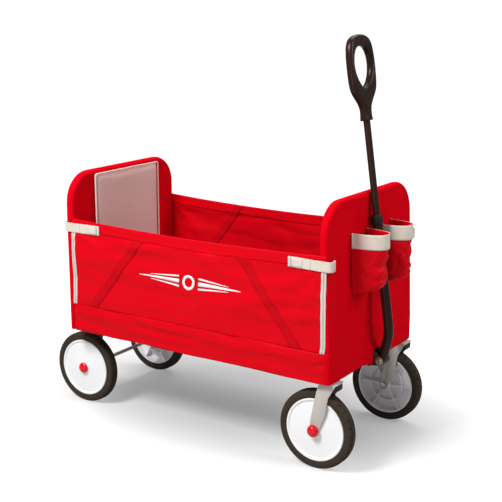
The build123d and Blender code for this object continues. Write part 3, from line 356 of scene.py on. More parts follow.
black_frame = grained("black_powder_coat", (0.022, 0.022, 0.023), 0.42, 900, 0.05 * MM)
grey_fork = grained("grey_powder_coat", (0.500, 0.470, 0.430), 0.42, 800, 0.04 * MM)
DULL = {"Specular IOR Level": 0.16}
handle_brown = grained("handle_coat", (0.024, 0.0110, 0.0075), 0.33, 700, 0.04 * MM, **DULL)
grip_plastic = grained("grip_plastic", (0.024, 0.0110, 0.0075), 0.26, 500, 0.05 * MM, **DULL)
black_plastic = grained("black_plastic", (0.020, 0.016, 0.015), 0.45, 600, 0.06 * MM, **DULL)
cap_red = grained("cap_red", (0.700, 0.004, 0.012), 0.14, 300, 0.01 * MM, **{"Specular IOR Level": 0.4})
wheel_white = grained("wheel_white", (0.880, 0.880, 0.885), 0.30, 260, 0.03 * MM, wear=0.02)
# Painted light: the rims' inner side is painted brighter than their face, to look lit in the shade under
# the tub.
wheel_inside = grained("wheel_inside", (0.900, 0.890, 0.905), 0.20, 40, 0.30 * MM, wear=0.10)
steel = grained("drawn_steel", (0.500, 0.455, 0.390), 0.28, 900, 0.02 * MM, (0.06, 1, 1), Metallic=1.0)
coil_grey = grained("zip_coil", (0.450, 0.420, 0.385), 0.42, 900, 0.03 * MM)
board_black = grained("floor_board", (0.032, 0.032, 0.034), 0.55, 300, 0.08 * MM)
tyre_black = grained("tyre_rubber", (0.040, 0.029, 0.021), 0.66, 320, 0.16 * MM, wear=0.24, **DULL)
print_white = grained("print_white", (0.84, 0.83, 0.82), 0.45, 500, 0.03 * MM, wear=0.02)

# %% [markdown]
# ## The floor's finish
# On a real sweep the floor round the wagon burns out to white, and only a soft grey pool is left
# under it. A white floor bright enough for that would throw light up at the cloth. So this one is
# mid grey as a surface, and glows in the camera's view only, more with the distance from the wagon.
# The grey pool under the wagon is mostly painted shadow, where the glow is weaker; the lamps' real
# shadow lies in it too.

# %% Floor finish
POOL_BACK = 0.08
POOL_START, POOL_END = 0.20, 0.80
PAINTED_SHADOW_GLOW, OPEN_GLOW = (0.25,) * 3, (1.00,) * 3
floor_paint = Paint("studio_white", (0.46, 0.46, 0.465), 0.6)
floor_x, floor_y, _ = floor_paint.coordinates()
floor_back = floor_y - POOL_BACK
# Painted shadow: the camera-only glow is weakest in an oval under the wagon and rises to full white
# further out.
spread = floor_x * floor_x * 0.42 + floor_back * floor_back * 1.6
away = floor_paint.node("ShaderNodeMath", {"operation": "SQRT"}, {0: spread})
ramp = {0: away, 1: POOL_START, 2: POOL_END}
glow = floor_paint.node("ShaderNodeMapRange", {"interpolation_type": "SMOOTHSTEP"}, ramp)
in_view = floor_paint.node("ShaderNodeLightPath")
shown = {0: in_view, 6: (0, 0, 0, 1), 7: floor_paint.blend(glow, PAINTED_SHADOW_GLOW, OPEN_GLOW)}
seen_glow = floor_paint.node("ShaderNodeMix", {"data_type": "RGBA"}, shown, output=2)
floor_paint.set("Emission Color", seen_glow)
floor_paint.set("Emission Strength", 1.0)
studio_floor.data.materials.append(floor_paint.material)
print("floor glows from", POOL_START, "to", POOL_END, "m")

# %% [markdown]
# ## Making a piece
# Every piece goes through the same last steps: the mesh gets its object at the origin, its
# material, smooth shading with crisp corners where faces meet at a sharp angle, and the body it
# rides on; and the design pieces that it stands in for are hidden.

# %% Make a piece
SHARP = math.radians(38)


def piece(source, name, material, body, slot, stands_for=(), sharp=SHARP):
    """Turns a bmesh into a finished piece of the wagon."""
    data = bpy.data.meshes.new(name)
    source.to_mesh(data)
    source.free()
    data.shade_smooth()
    data.set_sharp_from_angle(angle=sharp)
    data.materials.append(material)
    made = bpy.data.objects.new(name, data)
    bpy.context.scene.collection.objects.link(made)
    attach(made, body)
    if stands_for:
        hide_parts(*stands_for)
    return made


def add_sheet(bm, across, up, place, width, height):
    """Adds a grid whose corners place() puts in space, with a UV map in metres."""
    uv = bm.loops.layers.uv.verify()
    made = bmesh.ops.create_grid(bm, x_segments=across, y_segments=up, size=0.5)["verts"]
    shares = {vert: (vert.co.x + 0.5, vert.co.y + 0.5) for vert in made}
    for vert in made:
        for loop in vert.link_loops:
            loop[uv].uv = (shares[vert][0] * width, shares[vert][1] * height)
    for vert, (u, v) in shares.items():
        vert.co = place(u, v)
    return made


def bell(distance, width):
    """1 at no distance, falling off to both sides in a smooth bell."""
    return math.exp(-((distance / width) ** 2))


def joined_copy(node, distance):
    """A bmesh copy of a design piece with its doubled corners joined."""
    bm = bmesh.new()
    bm.from_mesh(nodes[node].data)
    bmesh.ops.remove_doubles(bm, verts=bm.verts, dist=distance)
    return bm


def mirrored(bm):
    """Mirrors a bmesh from left to right."""
    bmesh.ops.scale(bm, vec=(1, -1, 1), verts=bm.verts)
    bmesh.ops.reverse_faces(bm, faces=bm.faces)
    return bm


def add_mesh(bm, other):
    """Moves the faces of another bmesh into this one."""
    data = bpy.data.meshes.new("joined_source")
    other.to_mesh(data)
    other.free()
    bm.from_mesh(data)
    bpy.data.meshes.remove(data)


def add_bead(bm, matrix):
    """Adds a tiny ball of few faces, shaped and placed by the matrix."""
    bmesh.ops.create_uvsphere(bm, u_segments=6, v_segments=4, radius=1.0, matrix=matrix)


def relax(bm, verts=None, times=1):
    """Lets the points settle halfway towards their neighbours."""
    for _ in range(times):
        bmesh.ops.smooth_vert(
            bm, verts=verts or bm.verts, factor=0.5, use_axis_x=True, use_axis_y=True, use_axis_z=True
        )


def worked_out(data, prepare=None):
    """A mesh or curve as a bmesh, with what prepare() adds to its object and its bevel applied."""
    holder = bpy.data.objects.new(data.name, data)
    bpy.context.scene.collection.objects.link(holder)
    if prepare:
        prepare(holder)
    depsgraph = bpy.context.evaluated_depsgraph_get()
    result = bpy.data.meshes.new_from_object(holder.evaluated_get(depsgraph))
    bm = bmesh.new()
    bm.from_mesh(result)
    bpy.data.batch_remove([holder, data, result])
    return bm


def thicken(made, thickness, offset=-1.0):
    """Gives a sheet its thickness, inwards from its outer face."""
    shell = made.modifiers.new("thickness", "SOLIDIFY")
    shell.thickness = thickness
    shell.offset = offset
    return made


# %% [markdown]
# ## How the side cloth hangs
# A side is a sheet stretched between the two end hoops and held by straps at its top corners. The
# top edge sags a little in the middle and is drawn inwards. Soft ridges hang from strap to strap in
# bows, short folds fan out from the straps, and small ripples follow the bottom seam. Near the seam
# and under the hem the cloth is held, so the folds die away there. One function gives this surface,
# and everything that is sewn to the side asks it where to lie, so nothing floats or sinks.

# %% Side surface
TOP_SAG = 11 * MM
TOP_BOW = 7 * MM
TUCK_REACH = 9 * MM
SEED = {-1: 3.7, 1: 11.3}
PANEL_REAR = {-1: panel_low.x, 1: panel_low.x - TUCK_REACH}


def smooth_step(value, start, end):
    """0 before start, 1 after end, and an S-curve between them."""
    share = max(0.0, min(1.0, (value - start) / (end - start)))
    return share * share * (3 - 2 * share)


def along_side(x):
    """How far along the tub x is: -1 at the rear end, 1 at the front end."""
    return (x - MID_X) / HALF_LENGTH


def side_top(x):
    """Height of a side's top edge at x."""
    return SIDE_TOP - TOP_SAG * (1 - along_side(x) ** 2)


def ripple(x, z, length, height, seed):
    """Smooth noise from -1 to 1 whose hills are length long and height high."""
    return noise.noise(Vector((x / length, z / height, seed)))


LONG_FOLD = (8.0 * MM, 0.24, 0.060)
BROAD_FOLD = (7.0 * MM, 0.22, 0.12)
SMALL_FOLD = (2.6 * MM, 0.09, 0.022)
FAN_ROOT, FAN_DROP = 0.385, 0.030
FAN_RISE, FAN_REACH, FAN_RAYS = 3.4 * MM, 0.20, 9
TUCK = 3.4 * MM
HELD_BELOW_TOP = (45 * MM, 28 * MM)
MOST_FOLD = 8.5 * MM
OUT_AT_SEAM, OUT_SLOPE = 0.6 * MM, 0.075
IN_AT_SEAM, IN_SLOPE = 0.8 * MM, 0.100
SWAGS = (
    (0.040, 0.018, 0.015, 3.4),
    (0.062, 0.036, 0.019, 4.4),
    (0.094, 0.052, 0.022, 4.8),
    (0.134, 0.060, 0.018, 3.6),
)


def waves(kind, x, z, seed):
    """Ripples of one kind, which is their rise, length and height."""
    rise, length, height = kind
    return rise * ripple(x, z, length, height, seed)


def swag(x, z, side):
    """Soft ridges that hang in bows between the straps, each drop and sag below the top edge."""
    t = along_side(x)
    total = 0.0
    for number, (drop, sag, width, rise) in enumerate(SWAGS):
        line = SIDE_TOP - drop - sag * (1 - t * t) + 0.020 * ripple(x, number, 0.20, 1, SEED[side])
        strength = 0.6 + 0.9 * ripple(x, number, 0.13, 1, SEED[side] + 2)
        across = (z - line) / width
        soft_foot = 1 - 0.5 * bell(across + 1.4, 1)
        total += rise * MM * strength * bell(across, 1) * soft_foot
    return total * (1 - smooth_step(abs(t), 0.90, 0.99))


def side_offset(x, z, side):
    """How far the cloth stands out from the design's plane at x and z."""
    share = max(0.0, min(1.0, (z - SEAM) / (SIDE_TOP - SEAM)))
    middle_share = 1 - along_side(x) ** 2
    bow = -TOP_BOW * middle_share * share**1.5
    seed = SEED[side]
    slope = 0.10 * (x - MID_X) * (1 if x > MID_X else -1)
    long_folds = 0.25 * LONG_FOLD[0] - abs(waves(LONG_FOLD, x, z + slope, seed))
    broad = waves(BROAD_FOLD, x, z, seed + 5)
    small = waves(SMALL_FOLD, x, z + 0.5 * slope, seed + 9)
    calm = middle_share**0.5
    pull = 0.0
    for end in (-1, 1):
        dx = (MID_X + end * FAN_ROOT - x) * end
        dz = SIDE_TOP - FAN_DROP - z
        if dx > 0 and dz > -0.02:
            fan = math.sin(FAN_RAYS * math.atan2(dz, dx) + seed)
            pull += FAN_RISE * fan * math.exp(-math.hypot(dx, dz) / FAN_REACH) * min(1.0, dx / 0.08)
    into_tuck = PANEL_REAR[1] + TUCK_REACH - x
    tuck = TUCK * smooth_step(into_tuck, 0, 0.8 * TUCK_REACH) if side > 0 else 0.0
    hills = calm * (long_folds + broad + small) + pull + swag(x, z, side)
    hills *= 1 - 0.8 * smooth_step(z, SIDE_TOP - HELD_BELOW_TOP[0], SIDE_TOP - HELD_BELOW_TOP[1])
    above = z - SEAM
    highest = min(OUT_AT_SEAM + OUT_SLOPE * above, MOST_FOLD)
    lowest = max(-IN_AT_SEAM - IN_SLOPE * above, -MOST_FOLD)
    return bow + max(lowest, min(hills, highest)) - tuck


def side_point(x, z, side, proud=0.0):
    """The point on a side's outer face at x and z, lifted by proud."""
    return Vector((x, side * (HALF_WIDTH + side_offset(x, z, side) + proud), z))


print("top sag at the middle", round(SIDE_TOP - side_top(MID_X), 4))

# %% [markdown]
# ## Side sheets
# Each side is one sheet from the bottom seam to the top edge. A fine grid is cut first, and each
# corner asks the surface function for its place. The Solidify modifier gives the cloth its
# thickness. The right side is the one that unzips and drops.

# %% Sheets
CLOTH = 1.5 * MM
SIDE_BODY = {1: "front_end", -1: "side_flap"}
SIDE_NAME = {1: "left", -1: "right"}
PANEL_NODE = {1: "left_side_panel", -1: "right_side_flap"}


def folds(made):
    """Gives the piece its own copy of its mesh."""
    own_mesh(made)
    return made


def facing(bm, side):
    """Turns the faces of a side's sheet outwards."""
    if side > 0:
        bmesh.ops.reverse_faces(bm, faces=bm.faces)


def side_sheet(side):
    width = panel_high.x - PANEL_REAR[side]
    height = SIDE_TOP - SEAM

    def place(u, v):
        x = PANEL_REAR[side] + u * width
        return side_point(x, SEAM + v * (side_top(x) - SEAM), side)

    bm = bmesh.new()
    add_sheet(bm, 190, 64, place, width, height)
    facing(bm, side)
    node = PANEL_NODE[side]
    made = piece(bm, f"{node}_cloth", red_cloth, SIDE_BODY[side], "red_fabric", [node])
    return folds(thicken(made, CLOTH))


side_cloths = {side: side_sheet(side) for side in (-1, 1)}

# %% [markdown]
# ## Hems
# The top edge is folded over and stitched, which makes a band 26 mm high that is twice as thick
# and catches the light. It is one strip that goes up the outside, over the edge and down the
# inside, so its section is a narrow upside-down U.

# %% Hems
HEM = 26 * MM
HEM_PROUD = 0.7 * MM


def side_hem(side):
    width = panel_high.x - PANEL_REAR[side]
    bend = CLOTH / 2 + HEM_PROUD
    run = 2 * HEM + math.pi * bend

    def place(u, v):
        x = PANEL_REAR[side] + u * width
        top = side_top(x)
        walk = v * run
        if walk < HEM:
            across, up = bend, walk - HEM
        elif walk > HEM + math.pi * bend:
            across, up = -bend, HEM + math.pi * bend - walk
        else:
            angle = (walk - HEM) / bend
            across, up = bend * math.cos(angle), bend * math.sin(angle)
        return side_point(x, top + min(up, 0), side, across - CLOTH / 2) + Vector((0, 0, max(up, 0)))

    bm = bmesh.new()
    add_sheet(bm, 150, 22, place, width, run)
    facing(bm, side)
    name = f"{SIDE_NAME[side]}_side_hem"
    made = piece(bm, name, red_cloth, SIDE_BODY[side], "red_fabric", sharp=math.pi)
    return folds(thicken(made, 0.5 * MM, 0.0))


side_hems = {side: side_hem(side) for side in (-1, 1)}

# %% [markdown]
# ## Skirts
# Below the seam a deeper band hides the frame. It is sewn on slack, so it stands out a little
# under the seam like a soft roll, ripples along its length, gathers near the corners and has a
# narrow turned edge at the bottom.

# %% Skirt surface
SKIRT_TOP = skirt_high.z + 0.8 * MM
ROLL = 4.6 * MM
SKIRT_WAVE = (4.2 * MM, 0.12, 0.12)
SKIRT_CREASE = (3.0 * MM, 0.10, 0.022)
SKIRT_FOLD = (3.6 * MM, 0.22, 0.026)
SKIRT_ROOM, ROOM_SLOPE = 1.6 * MM, 0.13
RIM_RETURN = 15 * MM


def skirt_offset(x, z, side):
    """How far the skirt stands out at x and z: a roll under the seam, ripples and gathers."""
    drop = (SKIRT_TOP - z) / (SKIRT_TOP - SKIRT_FOOT)
    roll = ROLL * math.sin(math.pi * min(1.0, drop / 0.42)) * (0.75 + 0.5 * ripple(x, 0, 0.12, 1, side))
    wave = drop * waves(SKIRT_WAVE, x, z, 21 + side)
    crease = waves(SKIRT_CREASE, x + 0.8 * z, z, 31 + side)
    long_fold = waves(SKIRT_FOLD, x, z + 0.10 * x, 35 + side)
    end = max(0.0, (abs(along_side(x)) - 0.80) / 0.20)
    pucker = math.sin(15 * drop + 3 * math.sin(30 * x)) * math.sin(math.pi * min(1.0, 1.1 * drop))
    gather = -2.5 * MM * end * math.sin(math.pi * drop) + 2.2 * MM * end * pucker
    behind = abs(x - MID_X) - (HALF_LENGTH - RIM_RETURN - 3 * MM)
    tuck = 2.6 * MM * smooth_step(behind, -6 * MM, 2 * MM)
    hills = roll + wave * (1 - 0.6 * end) + (crease + long_fold) * (1 - 0.5 * end) + gather
    room = SKIRT_ROOM + ROOM_SLOPE * (SKIRT_TOP - z)
    return min(hills * (1 - 0.8 * smooth_step(behind, -12 * MM, 0)), room) - tuck


def skirt_foot(x):
    """Height of the skirt's lower edge at x: it dips between its fastenings."""
    return SKIRT_FOOT + 1.2 * MM * ripple(x, 0, 0.09, 1, 41)


def side_skirt(side):
    width = skirt_high.x - skirt_low.x
    height = SKIRT_TOP - SKIRT_FOOT

    def place(u, v):
        x = skirt_low.x + u * width
        foot = skirt_foot(x)
        z = foot + v * (SKIRT_TOP - foot)
        return Vector((x, side * (HALF_WIDTH + skirt_offset(x, z, side)), z))

    bm = bmesh.new()
    add_sheet(bm, 170, 22, place, width, height)
    facing(bm, side)
    node = f"{SIDE_NAME[side]}_side_skirt"
    made = piece(bm, f"{node}_cloth", red_cloth, "front_end", "red_fabric", [node])
    return folds(thicken(made, CLOTH))


side_skirts = {side: side_skirt(side) for side in (-1, 1)}

# %% [markdown]
# ## Diagonal bands
# Two flat bands are sewn to each side, leaning towards each other at the top, to carry the pull
# between the floor and the top edge. They show outside and inside. Each is a strip of the same
# surface, lifted by its own thickness.

# %% Bands
BANDS_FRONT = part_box("right_flap_bands")[1][0]
BAND_WIDTH = 30 * MM
BAND_TOP = 138 * MM
BAND_FOOT = BANDS_FRONT - MID_X - BAND_WIDTH / 2
BAND_PROUD = 0.8 * MM


def band_line(v, end):
    """The x and z of a band's middle at share v from its foot to its top."""
    x = MID_X + end * (BAND_FOOT + (BAND_TOP - BAND_FOOT) * v)
    return x, SEAM + 1 * MM + v * (side_top(x) - 1 * MM - SEAM)


def side_bands(side, proud, name, stands_for):
    bm = bmesh.new()
    for end in (-1, 1):

        def place(u, v, end=end):
            x, z = band_line(v, end)
            return side_point(x + (u - 0.5) * BAND_WIDTH, z, side, proud)

        length = (SIDE_TOP - SEAM) * 1.25
        add_sheet(bm, 6, 60, place, BAND_WIDTH, length)
    facing(bm, side)
    made = piece(bm, name, red_band, SIDE_BODY[side], "red_fabric", stands_for)
    return folds(thicken(made, BAND_PROUD + 0.3 * MM, -1.0))


BAND_NODE = {1: "left_side_bands", -1: "right_flap_bands"}
outer_bands, inner_bands = {}, {}
for side in (-1, 1):
    node = BAND_NODE[side]
    outer_bands[side] = side_bands(side, BAND_PROUD, f"{node}_webbing", [node])
    inner_bands[side] = side_bands(side, -CLOTH, f"{node}_inside", ())

# %% [markdown]
# ## Stitches
# A lock stitch shows as a row of short raised dashes. Each dash is a small six-sided bead drawn
# out along the row, with only a few dozen faces, because there are hundreds of them. A row follows
# any list of points, and the beads of one seam are one piece.

# %% Rows of stitches
STITCH = 3.4 * MM
STITCH_GAP = 1.1 * MM
THREAD = 0.45 * MM


def walk_along(points, step):
    """Places along a line of points, step apart, each with its direction."""
    places = []
    carried = step / 2
    for start, end in zip(points, points[1:]):
        run = end - start
        length = run.length
        while carried < length:
            places.append((start + run * (carried / length), run / length))
            carried += step
        carried -= length
    return places


def add_stitches(bm, points, outwards):
    """Adds a row of stitches along the points, flattened against the cloth."""
    for place, direction in walk_along(points, STITCH + STITCH_GAP):
        across = direction.cross(outwards).normalized()
        turn = Matrix((direction, across, outwards)).transposed().to_4x4()
        scale = Matrix.Diagonal((STITCH / 2, THREAD, THREAD * 0.7, 1))
        add_bead(bm, Matrix.Translation(place) @ turn @ scale)


def side_line(x_values, z_of, side, proud):
    return [side_point(x, z_of(x), side, proud) for x in x_values]


def spaced(start, end, count):
    return [start + (end - start) * i / (count - 1) for i in range(count)]


def side_stitches(side):
    """Hem stitching outside and inside, and the edges of the bands."""
    bm = bmesh.new()
    out = Vector((0, side, 0))
    stations = spaced(panel_low.x + 3 * MM, panel_high.x - 3 * MM, 120)
    hem_line = side_line(stations, lambda x: side_top(x) - HEM + 3 * MM, side, HEM_PROUD + 0.25 * MM)
    add_stitches(bm, hem_line, out)
    for end in (-1, 1):
        for edge in (-1, 1):
            shift = edge * (BAND_WIDTH / 2 - 2.5 * MM)
            line = []
            for v in spaced(0.01, 0.93, 50):
                x, z = band_line(v, end)
                line.append(side_point(x + shift, z, side, BAND_PROUD))
            add_stitches(bm, line, out)
    name = f"{SIDE_NAME[side]}_side_stitches"
    return folds(piece(bm, name, red_thread, SIDE_BODY[side], "red_fabric"))


side_threads = {side: side_stitches(side) for side in (-1, 1)}
print("stitch faces", sum(len(made.data.polygons) for made in side_threads.values()))

# %% [markdown]
# ## Zips
# The right side opens on two coil zips. Each zip is two tapes with a row of nylon teeth between
# them. The tape sewn to the side drops with it, and the other tape stays on the end panel, so the
# two are separate pieces that meet at the teeth, each with its own row.

# %% Zips
zip_low, zip_high = map(Vector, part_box("right_flap_zips"))
ZIP_TAPE = 6.5 * MM
ZIP_FOOT, ZIP_TOP = zip_low.z, zip_high.z
ZIP_X = {"rear": zip_low.x + ZIP_TAPE, "front": zip_high.x - ZIP_TAPE}
ZIP_PROUD = 1.5 * MM
TOOTH_PITCH = 2.6 * MM
TOOTH = Matrix.Diagonal((1.1 * MM, 0.5 * MM, 0.9 * MM, 1))


def zip_wander(z):
    """A sewn zip is never quite straight: a small slow wave, and a kick at the foot."""
    kick = max(0.0, 1 - (z - ZIP_FOOT) / 0.03)
    return 1.6 * MM * ripple(0, z, 1, 0.07, 51) - 2.5 * MM * kick**2


def zip_half(end, towards):
    """One tape with its teeth: towards is -1 for the tape on the zip's rear side."""
    middle_x = ZIP_X[end]

    def point(x_share, z, lift):
        x = middle_x + zip_wander(z) + towards * x_share * ZIP_TAPE
        return Vector((x, -(HALF_WIDTH + side_offset(x, z, -1) + lift), z))

    def place(u, v):
        return point(u if towards > 0 else 1 - u, ZIP_FOOT + v * (ZIP_TOP - ZIP_FOOT), ZIP_PROUD)

    bm = bmesh.new()
    add_sheet(bm, 3, 50, place, ZIP_TAPE, ZIP_TOP - ZIP_FOOT)
    return bm, point


def zip_teeth(bm, point, towards):
    """A row of small nylon teeth along the inner edge of a tape."""
    for index in range(int((ZIP_TOP - ZIP_FOOT) / TOOTH_PITCH)):
        z = ZIP_FOOT + (index + (0.25 if towards > 0 else 0.75)) * TOOTH_PITCH
        add_bead(bm, Matrix.Translation(point(0.10, z, ZIP_PROUD + 0.4 * MM)) @ TOOTH)


zip_pieces = []
for end, side_half in (("rear", 1), ("front", -1)):
    for towards in (-1, 1):
        on_side = towards == side_half
        body = "side_flap" if on_side else f"{end}_end"
        name = f"{end}_zip_{'side' if on_side else 'end'}"
        tape, point = zip_half(end, towards)
        stands_for = ["right_flap_zips"] if on_side else ()
        tape_piece = piece(tape, f"{name}_tape", beige_webbing, body, "beige_webbing", stands_for)
        thicken(tape_piece, 0.9 * MM)
        teeth = bmesh.new()
        zip_teeth(teeth, point, towards)
        teeth_piece = piece(teeth, f"{name}_teeth", coil_grey, body, "black_plastic")
        if on_side:
            folds(tape_piece)
            folds(teeth_piece)
            zip_pieces += [tape_piece, teeth_piece]
print("zips at", {end: round(x, 4) for end, x in ZIP_X.items()})

# %% [markdown]
# ## End panels
# Each end is a fabric sleeve pulled over a steel hoop and closed at the bottom. The tube makes a
# full round rim, and inside it the two faces lie closer together and show a few slack ripples. We
# cut the outline as a face, give it depth, round its rim and remesh it into even small faces, which
# leaves a closed skin that can be pushed in between the tubes as a hand would push real cloth.

# %% End panel outline
END_CORNER = 80 * MM
RIM_ROUND = 9 * MM
SKIN = 4 * MM
CORNER_STEPS = 10
END_NAME = {True: "front", False: "rear"}


def end_outline(bm, inset=0.0, foot=None):
    """Adds the outline of an end panel in the plane x = 0, with two round top corners."""
    low = SEAM if foot is None else foot
    half, top, radius = HALF_WIDTH - inset, END_TOP - inset, END_CORNER - inset
    ring = [bm.verts.new((0, -half, low))]
    for start, sign in ((math.pi, -1), (math.pi / 2, 1)):
        centre_y = sign * (half - radius)
        for step in range(CORNER_STEPS + 1):
            angle = start - (math.pi / 2) * step / CORNER_STEPS
            y = centre_y + radius * math.cos(angle)
            ring.append(bm.verts.new((0, y, top - radius + radius * math.sin(angle))))
    ring.append(bm.verts.new((0, half, low)))
    return ring


def remeshed(source, voxel):
    """The closed bmesh as a new one of small even faces."""
    data = bpy.data.meshes.new("remesh_source")
    source.to_mesh(data)
    source.free()

    def with_voxels(holder):
        modifier = holder.modifiers.new("remesh", "REMESH")
        modifier.mode = "VOXEL"
        modifier.voxel_size = voxel

    return worked_out(data, with_voxels)


def edge_distance(y, z):
    """How far inside the end panel's outline a point lies, not counting its foot."""
    side_gap, top_gap = HALF_WIDTH - abs(y), END_TOP - z
    if side_gap < END_CORNER and top_gap < END_CORNER:
        return END_CORNER - math.hypot(END_CORNER - side_gap, END_CORNER - top_gap)
    return min(side_gap, top_gap)


# %% End panel cloth
HOOP_RIM = 15 * MM
FACE_IN = 3.2 * MM
END_SLACK = ((2.6 * MM, 0.09, 0.14, 1), (1.0 * MM, 0.045, 0.06, 3))
RIM_CREASE = 1.6 * MM


def end_x(x_share, z, front):
    """Turns a depth from the panel's inner face and a height into x in the wagon."""
    if front:
        lean = LEAN * max(0.0, z - SEAM) / (END_TOP - SEAM)
        return MID_X + HALF_LENGTH - END_DEPTH + x_share - lean
    return MID_X - HALF_LENGTH + END_DEPTH - x_share


DENT, DENT_WIDTH, DENT_DROP = 2.4 * MM, 17 * MM, 0.10


def handle_dent(y, z):
    """The hollow that the resting handle presses into the top of the front panel."""
    return DENT * bell(y, DENT_WIDTH) * smooth_step(z, END_TOP - DENT_DROP, END_TOP)


def end_cloth(front):
    bm = bmesh.new()
    face = bm.faces.new(end_outline(bm))
    moved = bmesh.ops.extrude_face_region(bm, geom=[face])["geom"]
    lifted = [item for item in moved if isinstance(item, bmesh.types.BMVert)]
    bmesh.ops.translate(bm, verts=lifted, vec=(END_DEPTH, 0, 0))
    bmesh.ops.recalc_face_normals(bm, faces=bm.faces)
    flat_faces = [face for face in bm.faces if abs(face.normal.x) > 0.9]
    flat_edges = [edge for face in flat_faces for edge in face.edges]
    rim = [edge for edge in flat_edges if max(vert.co.z for vert in edge.verts) > SEAM + 1 * MM]
    bmesh.ops.bevel(bm, geom=rim, offset=RIM_ROUND, segments=5, profile=0.5, affect="EDGES", material=-1)
    bm = remeshed(bm, SKIN)
    seed = 61 if front else 71
    for vert in bm.verts:
        depth, y, z = vert.co
        inside = edge_distance(y, z)
        outer = 1 if depth > END_DEPTH / 2 else -1
        sunk = smooth_step(inside, HOOP_RIM, HOOP_RIM + 0.012)
        slack = 0.0
        for rise, wide, tall, part in END_SLACK:
            slack += rise * ripple(y, z, wide, tall, seed + part * outer)
        crease = RIM_CREASE * bell(inside - HOOP_RIM - 2 * MM, 4 * MM)
        pushed = (FACE_IN + slack) * sunk + crease
        if outer > 0:
            pushed *= smooth_step(z, SEAM, SEAM + 0.03)
        if front and outer > 0:
            pushed += handle_dent(y, z)
        depth -= outer * max(-1.5 * MM, min(pushed, END_DEPTH / 2 - 4 * MM))
        wobble = 1 + 0.004 * noise.noise(Vector((y * 9, z * 9, seed)))
        vert.co = (end_x(depth, z, front), y * wobble, z)
    relax(bm)
    if not front:
        bmesh.ops.reverse_faces(bm, faces=bm.faces)
    end = END_NAME[front]
    name = f"{end}_cover_cloth"
    return piece(bm, name, red_solid, f"{end}_end", "red_fabric", [f"{end}_cover"], sharp=math.pi)


print("end panel faces", [len(end_cloth(front).data.polygons) for front in (True, False)])

# %% [markdown]
# ## Piping along the rims
# The outer face of each end is sewn to its edge strip, and the seam stands up as a thin ridge. It
# is a round cord drawn along the same outline a little further in, so its curve keeps the panel's
# shape. A curve with a bevel gives the round section, and it is turned into a mesh at once.

# %% Rim seams
SEAM_INSET = 9 * MM
SEAM_CORD = 1.1 * MM
OUTLINE_STEP = 12 * MM


def cord_mesh(points, radius, closed=False):
    """A round cord through the points, as a bmesh."""
    curve = bpy.data.curves.new("cord_source", "CURVE")
    curve.dimensions = "3D"
    curve.bevel_depth = radius
    curve.bevel_resolution = 2
    curve.use_fill_caps = True
    spline = curve.splines.new("POLY")
    spline.points.add(len(points) - 1)
    for target, point in zip(spline.points, points):
        target.co = (*point, 1)
    spline.use_cyclic_u = closed
    return worked_out(curve)


def outline_points(inset, foot):
    """Points round an end panel's outline, as y and z, starting at its right foot."""
    bm = bmesh.new()
    ring = [vert.co.copy() for vert in end_outline(bm, inset, foot)]
    bm.free()
    dense = []
    for start, end in zip(ring, ring[1:]):
        steps = max(1, round((end - start).length / OUTLINE_STEP))
        dense += [start + (end - start) * step / steps for step in range(steps)]
    return [(point.y, point.z) for point in dense + [ring[-1]]]


def rim_seam(front):
    outer_depth = END_DEPTH - 1.2 * MM
    points = []
    for y, z in outline_points(SEAM_INSET, SEAM + 1 * MM):
        dent = handle_dent(y, z) if front else 0.0
        points.append(Vector((end_x(outer_depth - dent, z, front), y, z)))
    end = END_NAME[front]
    return piece(cord_mesh(points, SEAM_CORD), f"{end}_rim_seam", red_solid, f"{end}_end", "red_fabric")


for front in (True, False):
    rim_seam(front)

# %% [markdown]
# ## End skirts
# Below its panel each end has a skirt like the sides have. The front one parts round the handle's
# bracket, and a long crease runs across it where the slack cloth folds over the base tube. Near
# the corners the skirts of the ends and sides close up on each other.

# %% End skirts
bracket_high = Vector(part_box("handle_bracket")[1])
EAR_ROOM = 18 * MM
BRACKET_OVER = bracket_high.z - 4 * MM
PLATE_BULGE = 12.0 * MM
FOLD_RIDGE, FOLD_HOLLOW = 2.0 * MM, 2.2 * MM
END_WAVE = (2.4 * MM, 0.09, 0.1)
CORNER_TURN = RIM_ROUND
END_SKIRT_HALF = HALF_WIDTH - CORNER_TURN + CORNER_TURN * math.pi / 2 + RIM_RETURN - CORNER_TURN
END_SKIRT_TOP = SEAM + 2 * MM


def end_skirt_offset(y, z, front):
    """How far an end skirt stands out at y and z."""
    seed = 81 if front else 91
    drop = (SEAM - z) / (SEAM - SKIRT_FOOT)
    roll = 1.6 * MM * math.sin(math.pi * min(1.0, drop / 0.5))
    slant = z - SEAM + 0.030 + 0.08 * y
    crease = FOLD_RIDGE * bell(slant + 12 * MM, 10 * MM) - FOLD_HOLLOW * bell(slant, 7 * MM)
    wave = drop * waves(END_WAVE, y, z, seed)
    corner = smooth_step(abs(y), HALF_WIDTH - 0.035, HALF_WIDTH - 0.005)
    flat = (roll + wave + crease) * (1 - corner)
    if not front:
        return flat
    over_plate = 1 - smooth_step(abs(y), bracket_high.y - 4 * MM, bracket_high.y + 22 * MM)
    over_plate *= 1 - smooth_step(z, bracket_high.z, bracket_high.z + 24 * MM)
    return flat * (1 - over_plate) + PLATE_BULGE * over_plate


def end_plan(walk):
    """Plan of an end skirt: depth back from its face and y, walked from the middle."""
    flat = HALF_WIDTH - CORNER_TURN
    past = abs(walk) - flat
    sign = 1 if walk > 0 else -1
    if past <= 0:
        return 0.0, walk
    turn = past / CORNER_TURN
    if turn < math.pi / 2:
        return CORNER_TURN * (1 - math.cos(turn)), sign * (flat + CORNER_TURN * math.sin(turn))
    return past - CORNER_TURN * (math.pi / 2 - 1), sign * HALF_WIDTH


